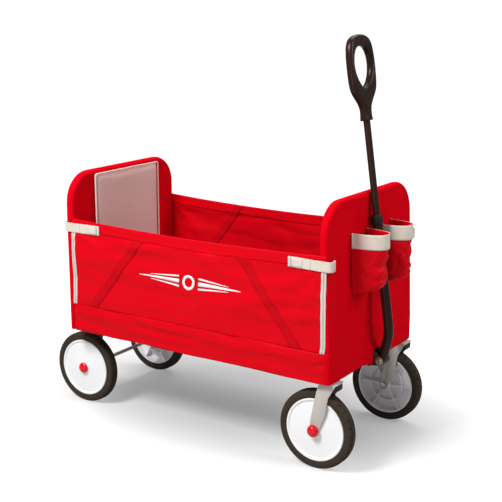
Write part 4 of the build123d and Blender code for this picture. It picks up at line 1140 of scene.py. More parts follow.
def add_end_skirt(bm, front, walk0, walk1, z0, z1):
    out = 1 if front else -1

    def place(u, v):
        back, y = end_plan(walk0 + u * (walk1 - walk0))
        z = z0 + v * (z1 - z0)
        x = MID_X + out * (HALF_LENGTH - 0.3 * MM - back + end_skirt_offset(y, z, front))
        return Vector((x, y, z))

    cells = max(2, round(abs(walk1 - walk0) / 0.004))
    add_sheet(bm, cells, 22, place, abs(walk1 - walk0), z1 - z0)


def end_skirt(front):
    bm = bmesh.new()
    edge, top = END_SKIRT_HALF, END_SKIRT_TOP
    if front:
        add_end_skirt(bm, True, -edge, -EAR_ROOM, SKIRT_FOOT, top)
        add_end_skirt(bm, True, EAR_ROOM, edge, SKIRT_FOOT, top)
        add_end_skirt(bm, True, -EAR_ROOM, EAR_ROOM, BRACKET_OVER, top)
        bmesh.ops.remove_doubles(bm, verts=bm.verts, dist=0.2 * MM)
    else:
        add_end_skirt(bm, False, -edge, edge, SKIRT_FOOT, top)
        bmesh.ops.reverse_faces(bm, faces=bm.faces)
    end = END_NAME[front]
    name = f"{end}_skirt_cloth"
    made = piece(bm, name, red_end, f"{end}_end", "red_fabric", [f"{end}_cover"], sharp=math.pi)
    return thicken(made, CLOTH)


end_skirts = {front: end_skirt(front) for front in (True, False)}

# %% [markdown]
# ## Padded backrests and floor pads
# A pad is foam in a sewn cover. It swells between its seams, and its edges pull in. The cloth
# solver does this well: the plain block is remeshed, inflated for a few steps with no gravity, and
# no point may move further than a cap, so the pad keeps its place. The sewn lines are pressed in
# afterwards, because remeshing would wipe them out.

# %% Pad solver
PAD_VOXEL = 5 * MM
PAD_STEPS = 18
PAD_TENSION, PAD_BENDING = 25, 0.6


def swollen(bm, cap, pressure=4.0):
    """Inflates a closed bmesh with the cloth solver, moving no point further than cap."""
    data = bpy.data.meshes.new("pad_source")
    bm.to_mesh(data)

    def inflate(holder):
        settings = holder.modifiers.new("cloth", "CLOTH").settings
        settings.use_pressure = True
        settings.uniform_pressure_force = pressure
        settings.effector_weights.gravity = 0
        settings.tension_stiffness = PAD_TENSION
        settings.bending_stiffness = PAD_BENDING
        for step in range(1, PAD_STEPS + 1):
            bpy.context.scene.frame_set(step)

    full = worked_out(data, inflate)
    for vert, after in zip(bm.verts, full.verts):
        move = after.co - vert.co
        if move.length > cap:
            move *= cap / move.length
        vert.co += move
    full.free()
    bpy.context.scene.frame_set(1)
    return bm


def pad_block(low, high, shrink, corner):
    """A closed block inside the box, with rounded upright corners, remeshed."""
    bm = bmesh.new()
    bmesh.ops.create_cube(bm, size=1.0)
    size = high - low - Vector((2 * shrink,) * 3)
    centre = (high + low) / 2
    bmesh.ops.scale(bm, vec=size, verts=bm.verts)
    thin = min(range(3), key=lambda axis: size[axis])
    runs = [(edge, edge.verts[0].co - edge.verts[1].co) for edge in bm.edges]
    upright = [edge for edge, run in runs if abs(run[thin]) > size[thin] / 2]
    bmesh.ops.bevel(bm, geom=upright, offset=corner, segments=4, profile=0.5, affect="EDGES", material=-1)
    bmesh.ops.translate(bm, vec=centre, verts=bm.verts)
    return remeshed(bm, PAD_VOXEL)


# %% Backrests
BACK_SHRINK = 1.6 * MM
BACK_CORNER = 7 * MM
PIPING = 2.2 * MM
PAD_RIPPLE = (0.9 * MM, 0.07, 0.09)


def backrest(front):
    """A foam backrest, made upright, then leant with its panel at the front."""
    end = END_NAME[front]
    node = f"{end}_backrest"
    low, high = map(Vector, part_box("rear_backrest"))
    bm = swollen(pad_block(low, high, BACK_SHRINK, BACK_CORNER), 3 * MM)
    centre_z = (low.z + high.z) / 2
    half_y, half_z = (high.y - low.y) / 2, (high.z - low.z) / 2
    for vert in bm.verts:
        x, y, z = vert.co
        inside = min(half_y - abs(y), half_z - abs(z - centre_z))
        if x > (low.x + high.x) / 2:
            x += waves(PAD_RIPPLE, y, z, 101 + front) * smooth_step(inside, 0.006, 0.04)
            x = min(x, high.x + 3 * MM)
        else:
            x = max(x, low.x + 0.2 * MM)
        vert.co.x = x if not front else 2 * MID_X - x
    if front:
        for vert in bm.verts:
            vert.co.x -= LEAN * (vert.co.z - SEAM) / (END_TOP - SEAM)
    bmesh.ops.recalc_face_normals(bm, faces=bm.faces)
    relax(bm)
    # The pad's pink tint is painted red bounce light on light grey cloth.
    made = piece(bm, f"{node}_pad", taupe_cloth, f"{end}_end", "pad_fabric", [node], sharp=math.pi)
    seam_x, bend = high.x - 2.0 * MM, BACK_CORNER - 0.5 * MM
    points = []
    for start, right, up in ((270, -1, -1), (180, -1, 1), (90, 1, 1), (0, 1, -1)):
        for step in range(6):
            turn = math.radians(start - 18 * step)
            y = right * (half_y - BACK_CORNER) + bend * math.cos(turn)
            z = centre_z + up * (half_z - BACK_CORNER) + bend * math.sin(turn)
            x = 2 * MID_X - seam_x - LEAN * (z - SEAM) / (END_TOP - SEAM) if front else seam_x
            points.append(Vector((x, y, z)))
    piping = cord_mesh(points, PIPING, closed=True)
    piece(piping, f"{node}_piping", pale_cord, f"{end}_end", "pad_fabric")


for front in (True, False):
    backrest(front)

# %% Floor pads
FLOOR_QUILT = 3
CHANNEL_WIDTH, CHANNEL_DEPTH = 6 * MM, 4.5 * MM


def floor_pad(front):
    """One half of the floor's cushion, with sewn channels across it."""
    end = END_NAME[front]
    node = f"floor_{end}_pad"
    low, high = map(Vector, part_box(node))
    bm = swollen(remeshed(joined_copy(node, 0.01 * MM), PAD_VOXEL), 4 * MM, 3.0)
    middle_z = (low.z + high.z) / 2
    channels = spaced(low.x, high.x, FLOOR_QUILT + 2)[1:-1]
    for vert in bm.verts:
        x, y, z = vert.co
        if z > middle_z:
            groove = sum(bell(x - channel, CHANNEL_WIDTH) for channel in channels)
            z -= CHANNEL_DEPTH * min(1.0, groove)
            z = min(z, high.z + 3 * MM)
        else:
            z = max(z, low.z + 0.1 * MM)
        vert.co = (min(max(x, low.x), high.x), min(max(y, low.y), high.y), z)
    relax(bm)
    name, body = f"{node}_cushion", f"floor_{end}"
    piece(bm, name, floor_cloth, body, "floor_pad_fabric", [node], sharp=math.pi)


for front in (True, False):
    floor_pad(front)

# %% [markdown]
# ## Corner straps
# A short length of webbing is sewn near each top corner of a side, runs round the corner and grips
# the end panel. It starts flat on the cloth, turns the corner in a small curve and ends in a
# folded, thicker tip. The path is followed in plan, and its height is the webbing's width.

# %% Strap path
strap_low, strap_high = map(Vector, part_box("right_corner_straps"))
STRAP_HIGH = strap_high.z - strap_low.z
STRAP_LONG = 0.118
STRAP_WRAP = 24 * MM
STRAP_BEND = 9 * MM
STRAP_THICK = 2.2 * MM
STRAP_TOTAL = STRAP_LONG - STRAP_BEND + STRAP_BEND * math.pi / 2 + STRAP_WRAP - STRAP_BEND


def strap_owner(side, end):
    """Which strap it is, and the body that it is sewn to."""
    where = END_NAME[end > 0]
    return f"{SIDE_NAME[side]}_{where}", "side_flap" if side < 0 else f"{where}_end"


def strap_place(walk, height, side, end):
    """A point on a strap: walk along it from its sewn end, height up its width."""
    corner_x = MID_X + end * (HALF_LENGTH + 2.6 * MM)
    straight = STRAP_LONG - STRAP_BEND
    start_x = corner_x - end * STRAP_LONG
    z = strap_low.z + height
    flat_y = HALF_WIDTH + 3.0 * MM
    if walk < straight:
        x = start_x + end * walk
        blend = smooth_step(walk, 0.02, 0.085)
        y = (HALF_WIDTH + side_offset(x, z, side) + 1.8 * MM) * (1 - blend) + flat_y * blend
        return Vector((x, side * y, z))
    turn = (walk - straight) / STRAP_BEND
    if turn < math.pi / 2:
        x = corner_x - end * STRAP_BEND * (1 - math.sin(turn))
        return Vector((x, side * (flat_y - STRAP_BEND * (1 - math.cos(turn))), z))
    past = walk - straight - STRAP_BEND * math.pi / 2
    lean = LEAN * (z - SEAM) / (END_TOP - SEAM) * smooth_step(past, 0, 0.02) if end > 0 else 0.0
    return Vector((corner_x - end * 0.0005 - lean * 0.6, side * (flat_y - STRAP_BEND - past), z))


def corner_strap(side, end):
    def place(u, v):
        walk = u * STRAP_TOTAL
        edge = 0.35 * MM * noise.noise(Vector((walk / 0.02, v, 7 * side + end)))
        return strap_place(walk, v * STRAP_HIGH + edge, side, end)

    bm = bmesh.new()
    add_sheet(bm, 70, 8, place, STRAP_TOTAL, STRAP_HIGH)
    facing(bm, side * end)
    strap, body = strap_owner(side, end)
    stands_for = [f"{SIDE_NAME[side]}_corner_straps"]
    made = piece(bm, f"{strap}_corner_strap", beige_webbing, body, "beige_webbing", stands_for)
    thicken(made, STRAP_THICK, 0.0)
    bevel = made.modifiers.new("soft_edges", "BEVEL")
    bevel.width = 0.5 * MM
    bevel.segments = 2
    if side < 0:
        folds(made)


for side in (-1, 1):
    for end in (-1, 1):
        corner_strap(side, end)

# %% [markdown]
# Each strap is doubled near its sewn end, held by a cross seam, and has a thick folded tip where
# fingers pull it off. These are short sleeves of the same webbing, one on the side and one round
# the corner, with a grey seam line at the sewn end.

# %% Strap ends
TIP = 8 * MM
SLEEVES = (
    ("doubling", 10 * MM, 30 * MM, 0.7 * MM, beige_webbing, "beige_webbing"),
    ("seam", 6 * MM, 4 * MM, 0.9 * MM, coil_grey, "black_plastic"),
    ("stitch", 62 * MM, 1.2 * MM, 0.3 * MM, coil_grey, "black_plastic"),
    ("tip", STRAP_TOTAL - TIP, TIP, 1.5 * MM, beige_webbing, "beige_webbing"),
)


def strap_sleeve(side, end, start, length, lift, material, tag, slot):
    """A short extra layer on a strap, from start along it."""

    def place(u, v):
        base = strap_place(start + u * length, v * STRAP_HIGH, side, end)
        ahead = strap_place(start + u * length + 1 * MM, v * STRAP_HIGH, side, end)
        run = (ahead - base).normalized()
        out = run.cross(Vector((0, 0, 1)))
        if out.dot(Vector((end * 0.7, side * 0.7, 0))) < 0:
            out.negate()
        return base + out * (STRAP_THICK / 2 + lift) + Vector((0, 0, (v - 0.5) * 0.6 * MM))

    bm = bmesh.new()
    add_sheet(bm, max(4, round(length / (1.5 * MM))), 4, place, length, STRAP_HIGH)
    facing(bm, side * end)
    strap, body = strap_owner(side, end)
    made = piece(bm, f"{strap}_strap_{tag}", material, body, slot)
    thicken(made, lift)
    if side < 0:
        folds(made)


for side in (-1, 1):
    for end in (-1, 1):
        for tag, start, length, lift, material, slot in SLEEVES:
            strap_sleeve(side, end, start, length, lift, material, tag, slot)

# %% [markdown]
# ## Cup pockets
# A pocket is a rounded bag sewn flat to the front panel along both sides, drawn in at the bottom
# and crumpled where the cloth has slack. Its plan is a D. A grid runs round the D and from the
# bottom seam to the mouth, and its lowest rows gather in towards the panel. The binding round the
# mouth is a beige band with a flat tab on each side.

# %% Pocket surface
pocket_low, pocket_high = map(Vector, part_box("cup_pocket_left"))
POCKET_HALF = (pocket_high.y - pocket_low.y) / 2 - 3.5 * MM
POCKET_Y = middle("cup_pocket_left").y
POCKET_FOOT, POCKET_TOP = pocket_low.z - 4 * MM, pocket_high.z
POCKET_FRONT = pocket_high.x
PLAN_SQUARE = 2.3
BOTTOM_ROUND, BAG_SQUARE = 0.26, 2.2
FOOT_NARROW = 0.84
POCKET_AROUND = 0.24
FLANGE, FLANGE_SHARE = 6 * MM, 0.045
RIDGE_RISE, RIDGE_STEP = 7.0 * MM, 0.040
CRUMPLE_RISE, CRUMPLE_HIGH = 6.0 * MM, 0.026
POCKET_NAME = {1: "cup_pocket_left", -1: "cup_pocket_right"}


def front_face_x(z):
    """The x of the front panel's outer face at height z."""
    return MID_X + HALF_LENGTH - LEAN * max(0.0, z - SEAM) / (END_TOP - SEAM)


def pocket_plan(share, depth, half):
    """The rounded plan as (out, y) at a share of the way round it, with a flat flange each side."""
    rim = FLANGE_SHARE
    if share < rim:
        return 0.0, -half - FLANGE * (1 - share / rim)
    if share > 1 - rim:
        return 0.0, half + FLANGE * (1 - (1 - share) / rim)
    turn = math.pi * (share - rim) / (1 - 2 * rim)
    cosine, sine = math.cos(turn), math.sin(turn)
    y = -half * math.copysign(abs(cosine) ** (2 / PLAN_SQUARE), cosine)
    return depth * sine ** (2 / PLAN_SQUARE), y


def pocket_point(share, rise, side, proud=0.0):
    """A point on a pocket: share round the plan, rise from the bottom seam to the mouth."""
    height = POCKET_TOP - POCKET_FOOT
    z = POCKET_FOOT + rise * height
    depth = POCKET_FRONT - front_face_x(POCKET_TOP) - 6 * MM
    low = max(0.0, 1 - rise / BOTTOM_ROUND)
    full = (1 - low**BAG_SQUARE) ** (1 / BAG_SQUARE)
    half = (POCKET_HALF - FLANGE) * (FOOT_NARROW + (1 - FOOT_NARROW) * full)
    taper = 1 - 0.10 * math.sin(math.pi * min(1.0, 1.25 * rise)) + 0.03 * rise
    out, y = pocket_plan(share, depth * full * taper + 1e-4, half)
    edge = math.sin(math.pi * share) ** 0.7
    seed = 111 + 4 * side
    around = 2.4 * share
    line = (z + 0.022 * around) / RIDGE_STEP + 1.1 * ripple(around, z, 1, 0.05, seed)
    crumple = ripple(around * 2.6, z - 0.04 * around, 1, CRUMPLE_HIGH, seed + 2)
    slack = RIDGE_RISE * (abs(math.sin(math.pi * line)) ** 0.6 - 0.65)
    slack += CRUMPLE_RISE * (0.25 - abs(crumple))
    held_above, free_below = smooth_step(rise, 0.58, 0.76), smooth_step(rise, 0, 0.1)
    slack *= edge * (1 - 0.85 * held_above) * (0.25 + 0.75 * free_below)
    direction = Vector((max(out, 1e-4) / depth, y / half, 0)).normalized()
    lifted = (proud + slack) * edge
    base = front_face_x(z) + 0.4 * MM
    x = base + out + direction.x * lifted
    return Vector((x, side * POCKET_Y + y + direction.y * lifted, z))


def pocket_cloth(side):
    def place(u, v):
        return pocket_point(u, v**1.5, side)

    bm = bmesh.new()
    add_sheet(bm, 72, 44, place, POCKET_AROUND, POCKET_TOP - POCKET_FOOT)
    name = POCKET_NAME[side]
    made = piece(bm, f"{name}_cloth", red_cloth, "front_end", "red_fabric", [name], sharp=math.pi)
    return thicken(made, 1.3 * MM)


pockets = [pocket_cloth(side) for side in (-1, 1)]

# %% Pocket bindings
BINDING = 36 * MM


def pocket_binding(side):
    low_share = 1 - BINDING / (POCKET_TOP - POCKET_FOOT)

    def place(u, v):
        point = pocket_point(u, low_share + (1 - low_share) * v, side, 1.2 * MM)
        point.x += 0.8 * MM
        point.z += 1.2 * MM * math.sin(math.pi * u) * (v - 0.5)
        return point

    bm = bmesh.new()
    add_sheet(bm, 72, 12, place, POCKET_AROUND, BINDING)
    name, stands_for = f"{POCKET_NAME[side]}_binding", ["cup_pocket_bands"]
    made = piece(bm, name, beige_webbing, "front_end", "beige_webbing", stands_for, sharp=math.pi)
    return thicken(made, 1.1 * MM)


bindings = [pocket_binding(side) for side in (-1, 1)]

# %% [markdown]
# ## Wheels
# The tyre is a solid rubber ring with a rounded shoulder, two fine grooves round it and a row of
# short notches on each shoulder. One half section is spun about the axle. The notches are single
# faces of the spun ring, inset and pushed in.

# %% Spinning a section
WHEEL_STEPS = 120
wheel_centre = middle("front_left_tyre")
wheel_size = Vector(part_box("front_left_tyre")[1]) - wheel_centre
WHEEL_R, TYRE_HALF = wheel_size.x, wheel_size.y
rim_box_low, rim_box_high = map(Vector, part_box("front_left_rim"))
RIM_R = (rim_box_high.x - rim_box_low.x) / 2
HUB_HALF = (rim_box_high.y - rim_box_low.y) / 2


def spun(section, steps=WHEEL_STEPS, closed=True):
    """Spins a section of (radius, y) points about the Y axis."""
    bm = bmesh.new()
    verts = [bm.verts.new((radius, y, 0)) for radius, y in section]
    pairs = zip(verts, verts[1:] + ([verts[0]] if closed else []))
    edges = [bm.edges.new(pair) for pair in pairs]
    turn = {"cent": (0, 0, 0), "axis": (0, 1, 0), "angle": 2 * math.pi, "steps": steps, "use_merge": True}
    bmesh.ops.spin(bm, geom=verts + edges, **turn)
    bmesh.ops.remove_doubles(bm, verts=bm.verts, dist=0.001 * MM)
    bmesh.ops.recalc_face_normals(bm, faces=bm.faces)
    return bm


def arc(centre, radius, start, end, count):
    """Points on an arc of a section, angles in degrees from the radial direction."""
    turns = [math.radians(angle) for angle in spaced(start, end, count)]
    return [(centre[0] + radius * math.cos(turn), centre[1] + radius * math.sin(turn)) for turn in turns]


GROOVE = 1.3 * MM
SHOULDER = 8 * MM


def tyre_section():
    """The tyre's section, from its bead on the inner side round the tread to the outer side."""
    crown_r, bead_r = WHEEL_R, RIM_R + 0.2 * MM
    half = TYRE_HALF
    groove_y = 6.5 * MM
    lower = [(bead_r, -half + 3 * MM), (bead_r + 2 * MM, -half + 0.8 * MM), (bead_r + 5 * MM, -half)]
    lower += arc((crown_r - SHOULDER, -half + SHOULDER), SHOULDER, -90, -8, 7)
    lower += [
        (crown_r, -groove_y - GROOVE),
        (crown_r - GROOVE, -groove_y - GROOVE / 2),
        (crown_r - GROOVE, -groove_y + GROOVE / 2),
        (crown_r, -groove_y + GROOVE),
    ]
    upper = [(radius, -y) for radius, y in reversed(lower)]
    return lower + upper


def tyre_mesh():
    bm = spun(tyre_section())
    shoulder_r = WHEEL_R - SHOULDER * (1 - math.cos(math.radians(30)))
    notches = []
    for face in bm.faces:
        centre = face.calc_center_median()
        radius = math.hypot(centre.x, centre.z)
        step = round(math.degrees(math.atan2(centre.z, centre.x)) / (360 / WHEEL_STEPS) - 0.5)
        on_shoulder = abs(radius - shoulder_r) < 1.1 * MM and abs(centre.y) > TYRE_HALF / 2
        if on_shoulder and step % 4 == (0 if centre.y > 0 else 2):
            notches.append(face)
    bmesh.ops.inset_individual(bm, faces=notches, thickness=0.5 * MM, depth=-1.0 * MM)
    return bm


# %% [markdown]
# The rim is moulded in one piece: a smooth, slightly dished outer face with a rolled lip and a
# small boss in the middle, and on the other side a deep drum with a hub, a ring and six ribs. The
# section of lip, face, boss and drum is spun, and the ribs are boxes with eased edges.

# %% Rim
WALL = 3.2 * MM
HUB_R = 15 * MM
RING_R = 47 * MM
RIBS = 6
RIB_TAPER = 0.6
BORE_R = 5.2 * MM


def rim_section():
    """The rim's closed section, outer face towards +Y."""
    half = TYRE_HALF - 1.5 * MM
    face_y = TYRE_HALF - 2.5 * MM
    lip = arc((RIM_R - 2.2 * MM, half - 0.7 * MM), 2.2 * MM, 0, 90, 6)
    outer = lip + [
        (RIM_R - 5 * MM, half + 1.0 * MM),
        (RIM_R - 8 * MM, face_y - 0.6 * MM),
        (RIM_R * 0.62, face_y + 0.2 * MM),
        (HUB_R + 9 * MM, face_y + 1.4 * MM),
        (HUB_R + 3 * MM, face_y + 2.0 * MM),
        (HUB_R, HUB_HALF - 0.6 * MM),
        (HUB_R - 1.5 * MM, HUB_HALF),
        (BORE_R, HUB_HALF),
    ]
    inner = [
        (BORE_R, -HUB_HALF),
        (HUB_R - 1.5 * MM, -HUB_HALF),
        (HUB_R, -HUB_HALF + 1.5 * MM),
        (HUB_R + 1 * MM, face_y - WALL - 4 * MM),
        (HUB_R + 6 * MM, face_y - WALL + 0.4 * MM),
        (RIM_R * 0.62, face_y - WALL),
        (RIM_R - WALL - 6 * MM, face_y - WALL - 1 * MM),
        (RIM_R - WALL - 1.5 * MM, face_y - WALL - 5 * MM),
        (RIM_R - WALL, -half + 3 * MM),
        (RIM_R - WALL - 1.5 * MM, -half + 0.8 * MM),
        (RIM_R - WALL + 0.5 * MM, -half),
        (RIM_R - 1 * MM, -half),
        (RIM_R, -half + 1 * MM),
    ]
    return outer + inner


def add_rib(bm, turn, length, depth, top_y, thickness):
    """A radial wall inside the rim, its foot against the face, thinner at its free edge."""
    made = bmesh.ops.create_cube(bm, size=1.0)["verts"]
    bmesh.ops.scale(bm, vec=(length, depth, thickness), verts=made)
    bmesh.ops.translate(bm, vec=(HUB_R - 1 * MM + length / 2, top_y - depth / 2, 0), verts=made)
    for vert in made:
        if vert.co.y < top_y - depth / 2:
            vert.co.z *= RIB_TAPER
    bmesh.ops.rotate(bm, cent=(0, 0, 0), matrix=Matrix.Rotation(turn, 3, "Y"), verts=made)


def rim_mesh():
    bm = spun(rim_section(), steps=96)
    face_y = TYRE_HALF - 2.5 * MM
    top_y = face_y - WALL + 0.8 * MM
    depth = top_y + TYRE_HALF - 7 * MM
    for index in range(RIBS):
        add_rib(bm, 2 * math.pi * index / RIBS, RIM_R - WALL - HUB_R + 2 * MM, depth, top_y, 3.4 * MM)
    foot, free_edge, free_y = 1.6 * MM, 1.1 * MM, top_y - depth * 0.8
    ring = [(RING_R - foot, top_y), (RING_R + foot, top_y)]
    ring += [(RING_R + free_edge, free_y), (RING_R - free_edge, free_y)]
    add_mesh(bm, spun(ring, steps=72))
    return bm


def wheel_piece(made, end, side):
    """Moves a wheel mesh from the origin to its hub; the right side is mirrored."""
    if side < 0:
        mirrored(made)
    centre = middle(f"{end}_{SIDE_NAME[side]}_tyre")
    bmesh.ops.translate(made, vec=centre, verts=made.verts)
    return made


def white_outside(made, side):
    """The inner side has its own finish: glossier, with a coarse bump, and a colour painted a shade
    brighter than the face, as painted light for the light it lacks under the tub.
    """
    made.data.materials.append(wheel_inside)
    centre_y = middle(made.name.replace("_moulding", "")).y
    for polygon in made.data.polygons:
        outwards = polygon.normal.y * side
        depth = (polygon.center.y - centre_y) * side
        if outwards < -0.3 or depth < TYRE_HALF - 8 * MM:
            polygon.material_index = 1


for end in ("front", "rear"):
    for side in (-1, 1):
        wheel = f"{end}_{SIDE_NAME[side]}"
        tyre, body = f"{wheel}_tyre", f"{wheel}_wheel"
        rubber = wheel_piece(tyre_mesh(), end, side)
        piece(rubber, f"{tyre}_rubber", tyre_black, body, "tyre_rubber", [tyre])
        rim, moulding = f"{wheel}_rim", wheel_piece(rim_mesh(), end, side)
        white_outside(piece(moulding, f"{rim}_moulding", wheel_white, body, "wheel_plastic", [rim]), side)
print("wheel radius", round(WHEEL_R, 4), "rim radius", round(RIM_R, 4))

# %% [markdown]
# ## Hub caps
# Each axle ends in a glossy red push-on cap, nearly a ball on the front forks and flatter at the
# rear. The dome is spun from an arc, with a short straight collar and a small flange at its foot.

# %% Caps


def cap_mesh(radius, height):
    """A domed cap with its foot at y = 0, rounder than a hemisphere at its shoulder."""
    section = [(0.6 * MM, 0), (radius * 0.86, 0), (radius * 0.97, 0.5 * MM), (radius, 1.6 * MM)]
    section += [
        (radius * math.cos(angle), 1.6 * MM + (height - 1.6 * MM) * math.sin(angle))
        for angle in spaced(0.12, math.pi / 2 - 0.06, 10)
    ]
    section += [(0.6 * MM, height)]
    bm = spun(section, steps=48)
    bmesh.ops.holes_fill(bm, edges=[edge for edge in bm.edges if edge.is_boundary], sides=0)
    return bm


def cap_pieces(node, body, sides, radius, height, out):
    low, high = map(Vector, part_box(node))
    bm = bmesh.new()
    for side in sides:
        cap = cap_mesh(radius, height)
        if side < 0:
            mirrored(cap)
        foot = Vector(((low.x + high.x) / 2, side * out, (low.z + high.z) / 2))
        bmesh.ops.translate(cap, vec=foot, verts=cap.verts)
        add_mesh(bm, cap)
    return piece(bm, f"{node}_dome", cap_red, body, "cap_plastic", [node])


for side in (-1, 1):
    node = f"{SIDE_NAME[side]}_caster_cap"
    low, high = map(Vector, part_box(node))
    inner = min(abs(low.y), abs(high.y))
    cap_pieces(node, f"{SIDE_NAME[side]}_caster", [side], (high.z - low.z) / 2, 14 * MM, inner)
REAR_CAP_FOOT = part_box("rear_hub_caps")[1][1] - 9 * MM
cap_pieces("rear_hub_caps", "rear_end", [-1, 1], 15 * MM, 10.5 * MM, REAR_CAP_FOOT)


def bolt_washer():
    """The broad washer with a raised boss under the pivot bolt's head."""
    low, high = map(Vector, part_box("handle_pivot_bolt"))
    section = [(4 * MM, 0), (11 * MM, 0), (11 * MM, 1.0 * MM), (10.4 * MM, 1.6 * MM), (4 * MM, 1.6 * MM)]
    bm = mirrored(spun(section, steps=48))
    bolt_x, bolt_z = (low.x + high.x) / 2, (low.z + high.z) / 2
    bmesh.ops.translate(bm, vec=(bolt_x, low.y + 4.95 * MM, bolt_z), verts=bm.verts)
    return piece(bm, "pivot_washer", steel, "front_end", "bright_steel")


bolt_washer()

# %% [markdown]
# ## Eased copies of the hard parts
# Real pressed steel and moulded plastic have no knife edges: a fraction of a millimetre of
# rounding catches a line of light. The design's own mesh stays untouched. A merged copy has its
# flat faces joined and its sharp edges bevelled, and stands in for the node.

# %% Eased copies
EASE_ANGLE = math.radians(35)


def eased(node, width, material, body, slot):
    bm = joined_copy(node, 0.005 * MM)
    everything = {"verts": bm.verts, "edges": bm.edges, "use_dissolve_boundaries": False}
    bmesh.ops.dissolve_limit(bm, angle_limit=math.radians(1), **everything)
    bm.normal_update()
    paired = [edge for edge in bm.edges if len(edge.link_faces) == 2]
    sharp = [edge for edge in paired if edge.calc_face_angle(0) > EASE_ANGLE]
    how = {"segments": 2, "profile": 0.5, "affect": "EDGES", "material": -1, "clamp_overlap": True}
    bmesh.ops.bevel(bm, geom=sharp, offset=width, **how)
    return piece(bm, f"{node}_eased", material, body, slot, [node])


HANDS, ENDS, ONE = ("left", "right"), ("front", "rear"), ("",)
EASED = (
    (HANDS, "*_caster_fork", 0.7, grey_fork, "*_caster", "fork_paint"),
    (HANDS, "*_caster_crown", 1.2, black_plastic, "*_caster", "black_plastic"),
    (HANDS, "*_caster_axle", 0.8, steel, "*_caster", "bright_steel"),
    (ONE, "handle_bracket", 0.8, handle_brown, "front_end", "handle_paint"),
    (ONE, "handle_pivot_bolt", 0.5, steel, "front_end", "bright_steel"),
    (ONE, "handle_collar", 0.6, black_plastic, "handle", "black_plastic"),
    (ONE, "rear_axle_legs", 0.8, grey_fork, "rear_end", "fork_paint"),
    (ONE, "rear_axle", 0.8, steel, "rear_end", "bright_steel"),
    (ENDS, "floor_*_rails", 1.2, black_frame, "floor_*", "frame_paint"),
    (ENDS, "floor_*_cross_tubes", 1.2, black_frame, "floor_*", "frame_paint"),
)
for words, node, ease, material, body, slot_name in EASED:
    for word in words:
        eased(node.replace("*", word), ease * MM, material, body.replace("*", word), slot_name)

# %% [markdown]
# ## The grip
# The grip is a moulded loop with a full, round section that flattens towards its neck. The
# design has its outline with eased edges. A copy is remeshed finely and smoothed, which lets the
# section round itself the way a hand-sized moulding does, and the neck keeps its square foot.

# %% Grip
GRIP_VOXEL = 2.2 * MM
GRIP_SMOOTHING = 9
GRIP_NECK = 12 * MM


def grip_moulding():
    bm = remeshed(joined_copy("handle_grip", 0.005 * MM), GRIP_VOXEL)
    neck_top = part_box("handle_grip")[0][2] + GRIP_NECK
    free = [vert for vert in bm.verts if vert.co.z > neck_top]
    relax(bm, free, GRIP_SMOOTHING)
    name = "handle_grip_moulding"
    return piece(bm, name, grip_plastic, "handle_upper", "black_plastic", ["handle_grip"], sharp=math.pi)


grip_moulding()

# %% [markdown]
# ## A plain printed mark
# The near side carries a plain ornament with no letters: a ring between three tapering stripes on
# each hand, printed in white. Each stripe is a thin strip that follows the cloth, and the ring is a
# grid bent into a circle.

# %% Printed ornament
MARK_Z = SEAM + 0.116
MARK_HALF = 0.158
MARK_GAP = 0.030
MARK_ROWS = ((0.72, 5.0, 13.0), (1.0, 10.0, 0.0), (0.72, 5.0, -13.0))
RING_INNER, RING_WALL = 12 * MM, 7 * MM
PRINT = 0.25 * MM


def print_point(x, z):
    return side_point(x, z, -1, PRINT)


def printed_ornament():
    bm = bmesh.new()
    for end in (-1, 1):
        for length, tall, lift in MARK_ROWS:

            def place(u, v, end=end, length=length, tall=tall, lift=lift):
                share = u if end > 0 else 1 - u
                x = MID_X + end * (MARK_GAP + share * (MARK_HALF - MARK_GAP) * length)
                width = tall * MM * (1 - 0.98 * share) ** 0.6
                return print_point(x, MARK_Z + lift * MM * (1 - 0.5 * share) + (v - 0.5) * width)

            add_sheet(bm, 40, 2, place, MARK_HALF, tall * MM)

    def ring_place(u, v):
        turn = -2 * math.pi * u
        radius = RING_INNER + RING_WALL * v
        return print_point(MID_X + radius * math.cos(turn), MARK_Z + radius * math.sin(turn))

    add_sheet(bm, 40, 2, ring_place, 0.08, 5 * MM)
    bmesh.ops.remove_doubles(bm, verts=bm.verts, dist=0.01 * MM)
    made = piece(bm, "side_print", print_white, "side_flap", "beige_webbing")
    return folds(thicken(made, PRINT, -1.0))


ornament = printed_ornament()

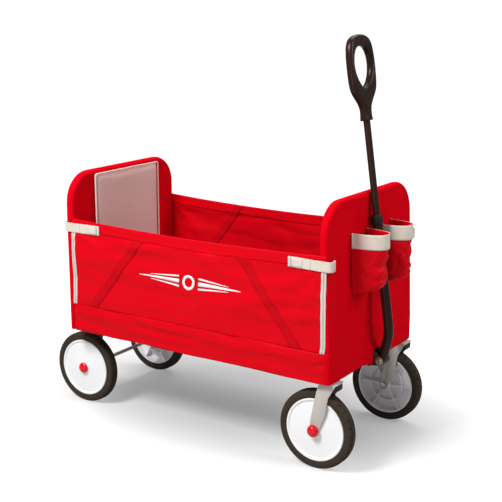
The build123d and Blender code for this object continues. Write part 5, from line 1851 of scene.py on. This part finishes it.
# %% [markdown]
# ## The folding strap, and the parts that keep their design shape
# The webbing loop in the middle of the floor is a short strap that arches a little above the pads.
# Everything else keeps the design's own mesh and only gets its finish.

# %% Folding strap
pull_low, pull_high = map(Vector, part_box("fold_pull_strap"))


def pull_strap():
    length, width = pull_high.x - pull_low.x, pull_high.y - pull_low.y

    def place(u, v):
        x = pull_low.x + u * length
        z = pull_low.z + 2.2 * MM + 7 * MM * math.sin(math.pi * u) ** 2
        return Vector((x, pull_low.y + v * width, z))

    bm = bmesh.new()
    add_sheet(bm, 40, 6, place, length, width)
    node = "fold_pull_strap"
    made = piece(bm, f"{node}_webbing", beige_webbing, "floor_rear", "beige_webbing", [node])
    thicken(made, 2.0 * MM)


pull_strap()

# %% Finishes of the design's own nodes
KEPT = (
    (black_frame, ["front_hoop", "rear_hoop", "front_base_frame", "rear_base_frame"]),
    (black_frame, ["floor_front_hinge_plates", "floor_rear_hinge_plates"]),
    (black_plastic, ["caster_sockets", "handle_glide"]),
    (board_black, ["floor_front_board", "floor_rear_board"]),
    (steel, ["floor_front_pins", "floor_rear_pins"]),
    (handle_brown, ["handle_lower_tube", "handle_upper_tube"]),
)
for material, names in KEPT:
    for node in names:
        nodes[node].data.materials.clear()
        nodes[node].data.materials.append(material)
print("kept nodes", sum(len(names) for material, names in KEPT))

# %% [markdown]
# ## Sewn pieces and cut sizes
# The pieces sewn onto each side are gathered with it, and the cut area of each end skirt and
# points round each pocket's mouth are worked out. Nothing further is done with them here.

# %% Sewn pieces and cut sizes
for side in (-1, 1):
    with_side = [side_hems[side], outer_bands[side], inner_bands[side], side_threads[side]]
    with_side + (zip_pieces + [ornament] if side < 0 else [])

for front, made in end_skirts.items():
    width, height = 2 * END_SKIRT_HALF, END_SKIRT_TOP - SKIRT_FOOT
    cut_out = 2 * EAR_ROOM * (BRACKET_OVER - SKIRT_FOOT) if front else 0.0
    height * width - cut_out
for side, made, binding in zip((-1, 1), pockets, bindings):
    mouth = [pocket_point(share, 0.9, side) for share in spaced(0, 1, 73)]
